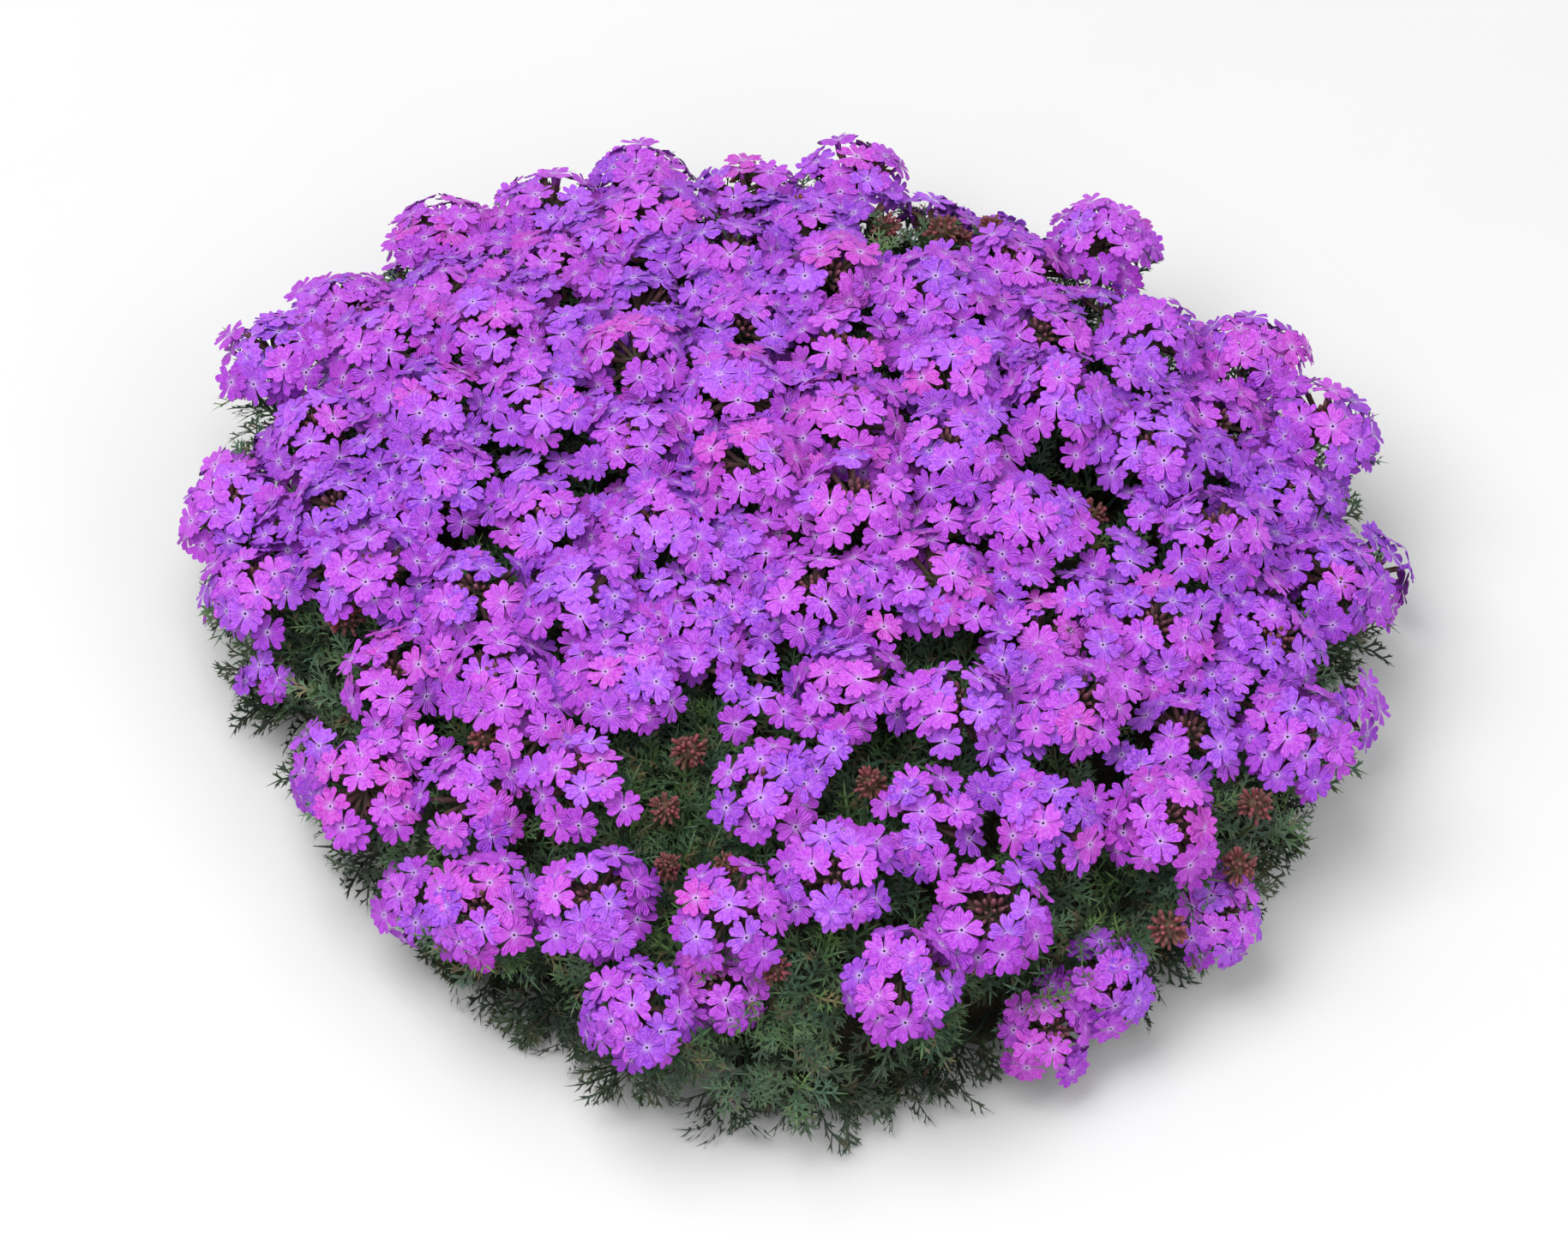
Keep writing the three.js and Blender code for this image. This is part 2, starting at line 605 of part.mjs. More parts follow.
// A stalk from a core up to just under a head. Its foot is sunk in the core, inside the rim, and far
// enough from the sector's borders for the stalk to clear the cores next to it.
function stalkFor(head, seatDrop, cores) {
  const top = head.centre.clone().addScaledVector(head.axis, -seatDrop * head.size - GAP);
  const foot = top.clone().addScaledVector(head.axis, coreTop(head.x, head.y) - top.z);
  foot.multiplyScalar(Math.min(1, (CORE_REACH - 2 * EDGE_MARGIN) / share(foot.x, foot.y)));
  const r = Math.sqrt(foot.x * foot.x + foot.y * foot.y);
  const { n, inside, inwards } = sectorAt(foot.x, foot.y);
  const others = cores.filter((core, k) => k !== n);
  for (let wanted = STALK_MARGIN; wanted < MAT_RADIUS; wanted += STALK_RADIUS) {
    const shift = Math.max(0, wanted - inside) * inwards;
    const moved = foot.clone().add(point((-foot.y / r) * shift, (foot.x / r) * shift, 0));
    const height = coreHeight(cores[n], moved.x, moved.y);
    if (height === undefined) continue;
    moved.z = Math.max(underside(r) + 1, height - STALK_SINK);
    const solid = stalkSolid(moved, top);
    if (isClear(solid, others)) return { n, solid };
  }
  throw new Error("a head has no stalk");
}

// A leaf from a place on a core: upright over the crown, and reaching outwards at the rim.
function leafAt(foot, random) {
  const heading = Math.atan2(foot.y, foot.x) + 1.8 * (random() - 0.5);
  const pitch = mix(1.05, 0.2, share(foot.x, foot.y)) + 0.5 * (random() - 0.5);
  const along = point(Math.cos(heading), Math.sin(heading), Math.tan(pitch)).normalize();
  const side = UP.clone().cross(along).normalize();
  const frame = new THREE.Matrix4().makeBasis(along, side, along.clone().cross(side));
  return placed(LEAF, frame.setPosition(foot));
}

// The solids of every leafy stem, sector by sector: its core, its stem, its stalks and its leaves. A
// leaf that would cross a neighbour is turned another way, or left out.
function growStems(heads, buds, headSolids) {
  const random = seeded(SEED + 2);
  const cores = steps(STEMS).map((n) => coreSolid(n, random));
  const sectors = cores.map((core, n) => [core, stemSolid(n)]);
  const stalks = [
    ...heads.map((head) => stalkFor(head, SEAT.drop, cores)),
    ...buds.map((bud) => stalkFor(bud, BUD_SEAT_DROP, cores)),
  ];
  stalks.forEach(({ n, solid }) => sectors[n].push(solid));
  for (let k = 1; LEAF_PITCH * Math.sqrt(k) < CORE_REACH * MAT_RADIUS; k++) {
    const [r, angle] = [LEAF_PITCH * Math.sqrt(k), k * GOLDEN_ANGLE + 0.7];
    const [x, y] = [r * Math.cos(angle), r * Math.sin(angle)];
    const { n, inside } = sectorAt(x, y);
    const height = coreHeight(cores[n], x, y);
    if (inside < LEAF_MARGIN || height === undefined || share(x, y) > CORE_REACH - EDGE_MARGIN) continue;
    const others = [...headSolids, ...sectors.flatMap((solids, m) => (m === n ? [] : solids))];
    for (let attempt = 0; attempt < LEAF_TRIES; attempt++) {
      const leaf = leafAt(point(x, y, height - 1), random);
      if (!isClear(leaf, others)) continue;
      sectors[n].push(leaf);
      break;
    }
  }
  return sectors;
}

// ---- Root crown ------------------------------------------------------------------------------------

// A short woody stub with a flat cut underneath.
function crownSolid() {
  const profile = [
    [0, 0],
    [CROWN_RADIUS, 0],
    [CROWN_RADIUS + 1, 0.3 * CROWN_HEIGHT],
    [0.8 * CROWN_RADIUS, 0.8 * CROWN_HEIGHT],
    [0.4 * CROWN_RADIUS, CROWN_HEIGHT],
    [0, CROWN_HEIGHT],
  ];
  const lathe = new THREE.LatheGeometry(profile.map(([r, z]) => new THREE.Vector2(r, z)), 9);
  return solidOfGeometry(lathe.rotateX(Math.PI / 2));
}

// ---- Assembly --------------------------------------------------------------------------------------

const heads = layOutHeads();
const buds = layOutBudHeads();
const bunches = heads
  .filter((head, n) => !head.mate || n < heads.indexOf(head.mate))
  .map((head) => (head.mate ? [head, head.mate] : [head]));
const bunchSolids = settle(bunches, headShape(), []);
const budSolids = settle(
  buds.map((bud) => [bud]),
  budHeadShape(),
  bunchSolids,
);
const stemSolids = growStems(heads, buds, [...bunchSolids, ...budSolids]);

const plant = new THREE.Group();
plant.add(meshOf(crownSolid(), "root_crown", STEM_BROWN, 0.85));
stemSolids.forEach((solids, n) => plant.add(meshOf(union(solids), numbered("leafy_stem", n), GREEN, 0.75)));
bunchSolids.forEach((solid, n) => plant.add(meshOf(solid, numbered("flower_heads", n), PURPLE, 0.6)));
budSolids.forEach((solid, n) => plant.add(meshOf(solid, numbered("bud_head", n), RUSSET, 0.8)));

export default plant;
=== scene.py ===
import math
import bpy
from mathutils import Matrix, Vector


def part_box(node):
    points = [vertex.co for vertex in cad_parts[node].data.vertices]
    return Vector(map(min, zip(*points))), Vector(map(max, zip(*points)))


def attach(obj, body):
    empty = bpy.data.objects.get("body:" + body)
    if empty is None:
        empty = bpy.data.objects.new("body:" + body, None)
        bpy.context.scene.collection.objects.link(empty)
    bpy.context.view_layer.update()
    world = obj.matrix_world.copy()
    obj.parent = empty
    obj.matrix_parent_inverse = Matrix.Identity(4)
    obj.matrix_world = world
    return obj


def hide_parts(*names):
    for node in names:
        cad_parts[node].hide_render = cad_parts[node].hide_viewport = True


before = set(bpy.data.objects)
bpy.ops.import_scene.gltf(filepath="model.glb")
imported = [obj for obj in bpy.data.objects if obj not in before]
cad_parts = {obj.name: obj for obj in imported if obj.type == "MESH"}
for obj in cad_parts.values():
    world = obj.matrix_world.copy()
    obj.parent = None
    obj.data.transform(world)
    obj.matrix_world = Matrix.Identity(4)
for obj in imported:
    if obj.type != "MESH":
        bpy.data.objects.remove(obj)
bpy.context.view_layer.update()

from types import SimpleNamespace

import bpy
import numpy as np
from bpy.props import FloatProperty, FloatVectorProperty, IntProperty, PointerProperty
from mathutils import Vector

bl_info = {
    "name": "Verbena mat",
    "version": (1, 0, 0),
    "blender": (4, 5, 0),
    "location": "View3D > Sidebar > Verbena",
    "description": "Grows a low mat of moss verbena: stems, cut leaves, flower heads and bud heads",
    "category": "Object",
}

# ---- Layout of the mat, in millimetres, as the solids have it ---------------------------------------

MM = 0.001
SEED = 20261
STREAMS = SimpleNamespace(  # added to the seed, so that each step draws from numbers of its own
    heads=0, bud_places=1, lesser_buds=5, stems=7, foliage=11, stalks=13, florets=17, buds=19, bud_heads=23
)
GOLDEN_ANGLE = math.pi * (3 - math.sqrt(5))
UP = np.array([0, 0, 1.0])

MAT_RADIUS = 210  # reach of the mat from the crown, before its outline waves
PULLED_IN = SimpleNamespace(towards=-2.45, depth=0.17, width=0.55)  # where the outline is pulled in
CUSHION_RIM = 22  # height of the leaf cushion at its edge
CUSHION_RISE = 56  # how much higher the cushion is over the crown
CUSHION_SWELL = 3  # height of its gentle waves
UNDERSIDE = 7  # height of the twiggy core's underside
CORE_EDGE = 4  # thickness of the core at its rim
CORE_RISE = 32  # how much thicker the core is over the crown
CORE_REACH = 0.8  # reach of the core, as a share of the mat's
CROWN_RADIUS = 14
STEMS = 8
FIRST_SECTOR = 0.2  # bearing at which the first stem's sector of the mat starts

HEAD_LIFT = 26  # centre of a flower head above the cushion, over the crown
RIM_LIFT = 14  # and at the rim
HEAD_LEVELS = np.array([0, -7, 7])  # the solids of a bunch moved by one of these to clear the others
HEAD_UNEVEN = 4.5  # how far heads differ in height
HEAD_SPACING = 38  # least distance between heads that don't grow together
PAIR_SPACING = 37.5  # distance between two heads that have grown into each other
PAIR_SEARCH = 44  # heads further apart than this don't pair
HEAD_PITCH = 19.2  # scale of the spiral that spreads the heads
HEAD_JITTER = 5  # how far a head may be off the spiral
EASING_ROUNDS = 80
OUTERMOST_HEAD = 0.91  # how far out a head may stand, as a share of the mat's reach
RIM_LEAN = 0.42  # slope at which heads on the rim lean out
FRONT_LEAN = 0.13  # slope at which all of them lean forward
RANDOM_LEAN = 0.06
SEAT_DROP = 14.2  # a head's seat on its stalk below its centre
SEAT_RADIUS = 3
BUD_SEAT_DROP = 3
BUD_SEAT_RADIUS = 2
BUD_HEAD_LIFT = 8  # centre of a bud head above the cushion, at the least
BUD_HEAD_UNEVEN = 5
BUD_HEADS = 8
LEVEL_TOLERANCE = 2  # how far a solid may be from where the layout puts it, in height
PLACE_TOLERANCE = 6  # and sideways

# Openings in the carpet of heads, where the leaves show: centre x, centre y, half width, half depth.
CLEARINGS = [
    (53, 142, 21, 13),
    (-92, 73, 11, 18),
    (-32, -102, 22, 34),
    (31, -112, 7, 24),
    (55, -57, 10, 10),
    (121, -144, 26, 14),
    (155, -100, 12, 14),
    (107, 8, 8, 12),
    (-145, -30, 14, 19),
    (-13, 190, 20, 8),
    (110, 97, 8, 8),
    (-97, -5, 6, 12),
    (7, -185, 10, 12),
]
CLEARING_MARGIN = 9  # how far the centres of heads stay from a clearing
BACK_CLEARING_LIFT = 11  # how much higher the leaves stand in the clearings at the back

# Smaller spent heads among the leaves, besides the bud heads that the solids have: x and y.
SPENT_HEADS = [(-114, 45), (-131, -88), (-93, -82), (-34, -115), (-14, -134), (-33, -134)]
SPENT_HEADS += [(33, -66), (43, -71), (23, -151), (2, -171), (40, 152), (64, 149), (76, 156)]
SPENT_HEADS += [(11, 165), (61, 102), (63, 64), (139, -109), (153, -117), (107, 13)]

# Lesser heads that stand alone at the front edge of the mat: x and y.
EDGE_HEADS = [(112, -153), (149, -125), (92, -168), (-16, -173)]


def seeded(seed):
    """A seeded stream of numbers from 0 to 1, the same as the one that placed the solids."""
    state = seed

    def draw():
        nonlocal state
        state = (state * 1664525 + 1013904223) % 2**32
        return state / 2**32

    return draw


def mat_radius(angle):
    """Reach of the mat in a direction: gently waved, and pulled in at the front left."""
    turn = angle - PULLED_IN.towards
    turn = np.arctan2(np.sin(turn), np.cos(turn))
    pulled = PULLED_IN.depth * np.exp(-((turn / PULLED_IN.width) ** 2))
    return MAT_RADIUS * (1 + 0.03 * np.sin(3 * angle + 1) + 0.02 * np.sin(7 * angle) - pulled)


def share(x, y):
    """0 over the crown, 1 on the outline."""
    return np.hypot(x, y) / mat_radius(np.arctan2(y, x))


def cushion_top(x, y):
    """Height of the leaf cushion's tips."""
    inside = np.maximum(0, 1 - share(x, y) ** 3)
    swell = CUSHION_SWELL * np.sin(x / 31 + 1) * np.cos(y / 27)
    return CUSHION_RIM + CUSHION_RISE * inside**0.7 + swell


def head_lift(x, y):
    """Height of the centres of the flower heads above the cushion."""
    return HEAD_LIFT + (RIM_LIFT - HEAD_LIFT) * share(x, y) ** 3


def core_top(x, y):
    """Height of the twiggy core."""
    inside = np.maximum(0, 1 - (share(x, y) / CORE_REACH) ** 2.5)
    return UNDERSIDE + CORE_EDGE + CORE_RISE * inside


def clearing_share(x, y, margin):
    """Below 1 inside a clearing that is widened by a margin."""
    return np.minimum.reduce(
        [((x - cx) / (rx + margin)) ** 2 + ((y - cy) / (ry + margin)) ** 2 for cx, cy, rx, ry in CLEARINGS]
    )


def ragged_clearing(x, y, margin):
    """As clearing_share, but for clearings with an uneven edge."""
    return clearing_share(x, y, margin) * (1 + 0.4 * tangled(x, y))


def distance(a, b):
    return math.hypot(a.x - b.x, a.y - b.y)


def lay_out_heads():
    """The flower heads: on a sunflower spiral, matched in pairs, then eased apart."""
    draw = seeded(SEED + STREAMS.heads)
    heads = []
    n = 0
    while HEAD_PITCH * math.sqrt(n + 0.5) < 1.1 * MAT_RADIUS:
        r = HEAD_PITCH * math.sqrt(n + 0.5)
        x = r * math.cos(n * GOLDEN_ANGLE) + HEAD_JITTER * (draw() - 0.5)
        y = r * math.sin(n * GOLDEN_ANGLE) + HEAD_JITTER * (draw() - 0.5)
        head = SimpleNamespace(x=x, y=y, rise=draw(), lean_x=draw(), lean_y=draw(), spin=draw(), mate=None)
        if share(x, y) < OUTERMOST_HEAD and clearing_share(x, y, CLEARING_MARGIN) > 1:
            heads.append(head)
        n += 1
    for head in heads[:0:-1]:
        free = [b for b in heads if b is not head and b.mate is None and distance(b, head) < PAIR_SEARCH]
        if head.mate is None and free:
            head.mate = min(free, key=lambda b: distance(b, head))
            head.mate.mate = head
    for _ in range(EASING_ROUNDS):
        ease_apart(heads)
    for head in heads:
        if head.mate:
            ease_pair(head, head.mate, PAIR_SPACING)
    for head in heads:
        finish_head(head)
    for node, bunch in bunches_of(heads).items():
        settle(bunch, node, SEAT_DROP, SEAT_RADIUS)
    return heads


def ease_pair(a, b, wanted):
    """Moves two heads along their line until they are a wanted distance apart."""
    push = 0.5 * (wanted / distance(a, b) - 1)
    dx, dy = (b.x - a.x) * push, (b.y - a.y) * push
    a.x, a.y, b.x, b.y = a.x - dx, a.y - dy, b.x + dx, b.y + dy


def ease_apart(heads):
    """One round of moving heads that are too close apart, mates to their distance, and all inside."""
    for i, a in enumerate(heads):
        for b in heads[i + 1 :]:
            if a.mate is b:
                ease_pair(a, b, PAIR_SPACING)
            elif distance(a, b) < HEAD_SPACING:
                ease_pair(a, b, HEAD_SPACING)
    for head in heads:
        over = share(head.x, head.y) - OUTERMOST_HEAD
        if over > 0:
            head.x *= 1 - over
            head.y *= 1 - over


def finish_head(head):
    """A head's height and the way it faces. Mates share one tilted plane."""
    mate = head.mate or head
    x, y = 0.5 * (head.x + mate.x), 0.5 * (head.y + mate.y)
    z = cushion_top(x, y) + head_lift(x, y) + HEAD_UNEVEN * (head.rise + mate.rise - 1)
    outward = RIM_LEAN * share(x, y) ** 3 / max(1, math.hypot(x, y))
    lean_x = outward * x + RANDOM_LEAN * (head.lean_x + mate.lean_x - 1)
    lean_y = outward * y + RANDOM_LEAN * (head.lean_y + mate.lean_y - 1) - FRONT_LEAN
    head.centre = np.array([head.x, head.y, z - lean_x * (head.x - x) - lean_y * (head.y - y)])
    head.axis = unit(np.array([lean_x, lean_y, 1]))
    head.scale = 1


def bunches_of(heads):
    """The heads of each flower node: one, or two mates."""
    pairs = [(head, head.mate) if head.mate else (head,) for head in heads]
    pairs = [pair for n, pair in enumerate(pairs) if heads.index(pair[-1]) >= n]
    return {f"flower_heads_{n + 1:02d}": pair for n, pair in enumerate(pairs)}


def settle(bunch, node, drop, radius):
    """Moves heads to the level at which the solid of their node lies, and checks that it is theirs."""
    low, high = (np.array(corner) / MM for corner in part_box(node))
    lowest = min(
        h.centre[2] - h.scale * (drop * h.axis[2] + radius * math.hypot(*h.axis[:2])) for h in bunch
    )
    level = HEAD_LEVELS[np.abs(HEAD_LEVELS - (low[2] - lowest)).argmin()]
    middle = np.mean([head.centre for head in bunch], 0)
    aside = np.abs(0.5 * (low + high) - middle)[:2].max()
    if abs(low[2] - lowest - level) > LEVEL_TOLERANCE or aside > PLACE_TOLERANCE:
        raise RuntimeError(f"{node} isn't where the layout puts it: {low} {high}, {middle}")
    for head in bunch:
        head.centre[2] += level
        head.node = node


def lay_out_bud_heads():
    """The bud heads of the solids, which stand in the largest clearings."""
    draw = seeded(SEED + STREAMS.bud_places)
    largest = sorted(CLEARINGS, key=lambda c: -c[2] * c[3])
    buds = []
    for cx, cy, rx, ry in largest[:BUD_HEADS]:
        x = cx + 0.25 * rx * (1 + 0.4 * draw())
        y = cy + 0.25 * ry * (1 + 0.4 * draw())
        z = cushion_top(x, y) + BUD_HEAD_LIFT + BUD_HEAD_UNEVEN * draw()
        axis = unit(np.array([0.3 * (draw() - 0.5), 0.3 * (draw() - 0.5), 1]))
        scale = 0.85 + 0.15 * draw()
        draw()  # the turn of the solid, which the finer heads don't need
        buds.append(SimpleNamespace(centre=np.array([x, y, z]), axis=axis, scale=scale))
    for node, bud in zip(numbered("bud_head", BUD_HEADS), buds):
        settle([bud], node, BUD_SEAT_DROP, BUD_SEAT_RADIUS)
    return buds


# ---- Shapes ----------------------------------------------------------------------------------------


def unit(vectors):
    return vectors / np.linalg.norm(vectors, axis=-1, keepdims=True)


def around(turns):
    """Level directions at some angles."""
    return np.stack([np.cos(turns), np.sin(turns), 0 * turns], -1)


def over_ball(polar, turns):
    """Directions at some angles from straight up, and round it."""
    return np.stack([np.sin(polar) * np.cos(turns), np.sin(polar) * np.sin(turns), np.cos(polar)], -1)


def spiral(count, pitch, turned=0):
    """The x and y of places spread evenly over a disc, as the seeds of a sunflower are."""
    k = np.arange(count)
    r = pitch * np.sqrt(k + 0.5)
    return r * np.cos(k * GOLDEN_ANGLE + turned), r * np.sin(k * GOLDEN_ANGLE + turned)


def climb(value, start, length):
    """0 up to a start, and 1 from a length beyond it."""
    return np.clip((value - start) / length, 0, 1)


def bases_along(axes, turns):
    """Right-handed bases, their rows x, y and z, with z along each axis, turned about it."""
    y = unit(np.cross(axes, around(turns)))
    return np.stack([np.cross(y, axes), y, axes], -2)


def placed(points, origins, bases, sizes):
    """Copies of points at origins (n, 3), along bases (n, 3, 3), at sizes (n,) or (n, 3)."""
    sizes = sizes[:, None, None] if sizes.ndim == 1 else sizes[:, None]
    return np.einsum("nvk,nkj->nvj", points * sizes, bases) + origins[:, None]


def grid_faces(rows, columns, closed=False):
    """Triangles of a grid of points, row by row. A closed grid joins its last column to its first."""
    i, j = np.meshgrid(np.arange(rows - 1), np.arange(columns - (not closed)), indexing="ij")
    after = (j + 1) % columns
    a, b = i * columns + j, (i + 1) * columns + j
    c, d = (i + 1) * columns + after, i * columns + after
    return np.concatenate([np.stack([a, b, c], -1), np.stack([a, c, d], -1)]).reshape(-1, 3)


def fan_faces(first, count):
    """Triangles that close a loop of points."""
    k = np.arange(1, count - 1)
    return np.stack([np.full(count - 2, first), first + k, first + k + 1], -1)


def tube_faces(rows, sides):
    """Triangles of a tube with flat ends, from its rings of points."""
    sheet = grid_faces(rows, sides, closed=True)[:, ::-1]
    return np.concatenate([sheet, fan_faces(0, sides)[:, ::-1], fan_faces((rows - 1) * sides, sides)])


def revolved(profile, sides):
    """A shape of revolution about z from its radii and heights, from below. A zero radius is a tip."""
    points, faces, rings = [], [], []
    turns = 2 * np.pi * np.arange(sides) / sides
    for radius, z in profile:
        count = sides if radius > 0 else 1
        rings.append(np.arange(count) + sum(len(p) for p in points))
        points.append((radius * around(turns) + z * UP)[:count])
    for low, high in zip(rings, rings[1:]):
        for k in range(sides):
            a, b = low[k % len(low)], low[(k + 1) % len(low)]
            c, d = high[(k + 1) % len(high)], high[k % len(high)]
            faces += [face for face in ((a, b, c), (a, c, d)) if len(set(face)) == 3]
    return np.concatenate(points), np.array(faces)


def curved(ends, count):
    """Points on cubic curves from their control points (n, 4, 3)."""
    t = np.linspace(0, 1, count)[None, :, None]
    a, b, c, d = (ends[:, k : k + 1] for k in range(4))
    return a * (1 - t) ** 3 + 3 * b * t * (1 - t) ** 2 + 3 * c * t**2 * (1 - t) + d * t**3


def tangents(paths):
    return unit(np.gradient(paths, axis=1))


class Growth:
    """Gathers points in millimetres, triangles and some numbers for each point into one mesh."""

    def __init__(self, *marks):
        self.points, self.faces, self.marks, self.count = [], [], {mark: [] for mark in marks}, 0

    def add(self, points, faces, **marks):
        """Adds n copies of a shape: points (n, v, 3), faces (f, 3) and marks that spread to (n, v)."""
        copies, size = points.shape[:2]
        starts = self.count + size * np.arange(copies)
        self.points.append(points.reshape(-1, 3))
        self.faces.append((faces[None] + starts[:, None, None]).reshape(-1, 3))
        for name, values in self.marks.items():
            values.append(np.broadcast_to(marks.get(name, 0), (copies, size)).ravel())
        self.count += copies * size

    def add_placed(self, shape, origins, bases, sizes, **marks):
        """Adds copies of a shape, its points and faces, placed as placed() does."""
        self.add(placed(shape[0], origins, bases, sizes), shape[1], **marks)

    def add_tubes(self, paths, radii, sides, **marks):
        """Adds tubes with closed ends along paths (n, p, 3), with radii (p,) or (n, p)."""
        along = tangents(paths)
        upright = np.abs(along.mean(1)[:, 2]) > 0.7
        beside = np.where(upright[:, None], [[1.0, 0, 0]], [[0, 0, 1.0]])[:, None]
        across = unit(np.cross(along, beside))
        other = np.cross(along, across)
        turns = 2 * np.pi * np.arange(sides) / sides
        ring = np.cos(turns)[:, None] * across[:, :, None] + np.sin(turns)[:, None] * other[:, :, None]
        radii = np.broadcast_to(radii, paths.shape[:2])[:, :, None, None]
        points = paths[:, :, None] + radii * ring
        count = paths.shape[1]
        marks = {k: np.repeat(v, sides, 1) if np.shape(v)[1:] == (count,) else v for k, v in marks.items()}
        self.add(points.reshape(len(paths), -1, 3), tube_faces(count, sides), **marks)

    def piece(self, name, material, slot, replaced=()):
        """The piece: a smooth mesh in metres that rides on the plant and stands for some nodes."""
        points = np.concatenate(self.points) * MM
        faces = np.concatenate(self.faces).astype(np.int32)
        mesh = bpy.data.meshes.new(name)
        mesh.vertices.add(len(points))
        mesh.vertices.foreach_set("co", points.astype(np.float32).ravel())
        mesh.loops.add(faces.size)
        mesh.loops.foreach_set("vertex_index", faces.ravel())
        mesh.polygons.add(len(faces))
        mesh.polygons.foreach_set("loop_start", np.arange(0, faces.size, 3, dtype=np.int32))
        for mark, values in self.marks.items():
            layer = mesh.attributes.new(mark, "FLOAT", "POINT")
            layer.data.foreach_set("value", np.concatenate(values).astype(np.float32))
        mesh.update(calc_edges=True)
        mesh.validate()
        mesh.shade_smooth()
        mesh.materials.append(material)
        piece = bpy.data.objects.new(name, mesh)
        bpy.context.scene.collection.objects.link(piece)
        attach(piece, "root")
        if replaced:
            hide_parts(*replaced)
        return piece


def tangled(x, y, z=0.0):
    """A smooth uneven number from -1 to 1 for each place, with lumps of a few millimetres."""
    coarse = np.sin(x / 7.1 + 2 * np.sin(y / 9.3)) * np.cos(y / 6.2 + 1.7 * np.sin(x / 8.7 + z))
    fine = np.sin(x / 2.3 + 1.3 * np.sin(y / 3.1 + z)) * np.cos(y / 2.1 + 1.1 * np.sin(x / 2.9))
    return 0.7 * coarse + 0.3 * fine


# ---- Materials -------------------------------------------------------------------------------------

BUMP_DEPTH = 0.0004  # in metres


def new_node(tree, kind, inputs=(), **settings):
    """A node with its settings, and inputs by name or number that are values or other sockets."""
    node = tree.nodes.new(kind)
    for name, value in settings.items():
        setattr(node, name, value)
    for name, value in dict(inputs).items():
        if isinstance(value, bpy.types.NodeSocket):
            tree.links.new(value, node.inputs[name])
        else:
            opaque = node.inputs[name].type == "RGBA"
            node.inputs[name].default_value = (*value, 1) if opaque else value
    return node


def calc(tree, operation, *values):
    """What a sum with values or sockets comes to."""
    return new_node(tree, "ShaderNodeMath", dict(enumerate(values)), operation=operation).outputs[0]


def darker(colour, share_left):
    return tuple(share_left * c for c in colour)


def ramp(tree, factor, stops):
    """A colour ramp from its (place, colour) stops."""
    node = new_node(tree, "ShaderNodeValToRGB", {"Fac": factor})
    elements = node.color_ramp.elements
    for _ in stops[2:]:
        elements.new(0.5)
    for element, (place, colour) in zip(elements, stops):
        element.position = place
        element.color = (*colour, 1)
    return node.outputs["Color"]


def blended(tree, factor, a, b):
    """Two colours mixed by a factor."""
    return new_node(tree, "ShaderNodeMix", {"Factor": factor, 6: a, 7: b}, data_type="RGBA").outputs[2]


def spread(tree, value, low, high, lowest=0.0, highest=1.0):
    """A value between two limits laid out over another range."""
    inputs = {"Value": value, "From Min": low, "From Max": high, "To Min": lowest, "To Max": highest}
    return new_node(tree, "ShaderNodeMapRange", inputs).outputs[0]


def mark_of(tree, name):
    """A number that the mesh holds for each point."""
    return new_node(tree, "ShaderNodeAttribute", attribute_name=name).outputs["Fac"]


def mottle_group():
    """Shared by every plant material: a colour made uneven at a given size, and a height for bumps."""
    if "Mottle" in bpy.data.node_groups:
        return bpy.data.node_groups["Mottle"]
    group = bpy.data.node_groups.new("Mottle", "ShaderNodeTree")
    sockets = [
        ("Colour", "INPUT", "NodeSocketColor"),
        ("Second", "INPUT", "NodeSocketColor"),
        ("Size", "INPUT", "NodeSocketFloat"),
        ("Amount", "INPUT", "NodeSocketFloat"),
        ("Colour", "OUTPUT", "NodeSocketColor"),
        ("Mask", "OUTPUT", "NodeSocketFloat"),
        ("Height", "OUTPUT", "NodeSocketFloat"),
    ]
    for name, way, kind in sockets:
        group.interface.new_socket(name, in_out=way, socket_type=kind)
    given = new_node(group, "NodeGroupInput").outputs
    place = new_node(group, "ShaderNodeTexCoord").outputs["Object"]
    scale = calc(group, "DIVIDE", 1.0, given["Size"])
    noise = {"Vector": place, "Scale": scale, "Detail": 4.0, "Roughness": 0.6}
    coarse = new_node(group, "ShaderNodeTexNoise", noise).outputs["Fac"]
    finer = {**noise, "Scale": calc(group, "MULTIPLY", scale, 5.0)}
    fine = new_node(group, "ShaderNodeTexNoise", finer).outputs["Fac"]
    mask = spread(group, coarse, 0.35, 0.65)
    factor = calc(group, "MULTIPLY", mask, given["Amount"])
    colour = blended(group, factor, given["Colour"], given["Second"])
    height = calc(group, "ADD", coarse, fine)
    new_node(group, "NodeGroupOutput", {"Colour": colour, "Mask": mask, "Height": height})
    return group


def mottled(tree, colour, second, size, amount):
    """The outputs of the shared mottle group, placed with values of its own."""
    inputs = {"Colour": colour, "Second": second, "Size": size, "Amount": amount}
    return new_node(tree, "ShaderNodeGroup", inputs, node_tree=mottle_group()).outputs


def new_material(name):
    """An empty material and its node tree."""
    material = bpy.data.materials.new(name)
    material.use_nodes = True
    material.node_tree.nodes.clear()
    return material, material.node_tree


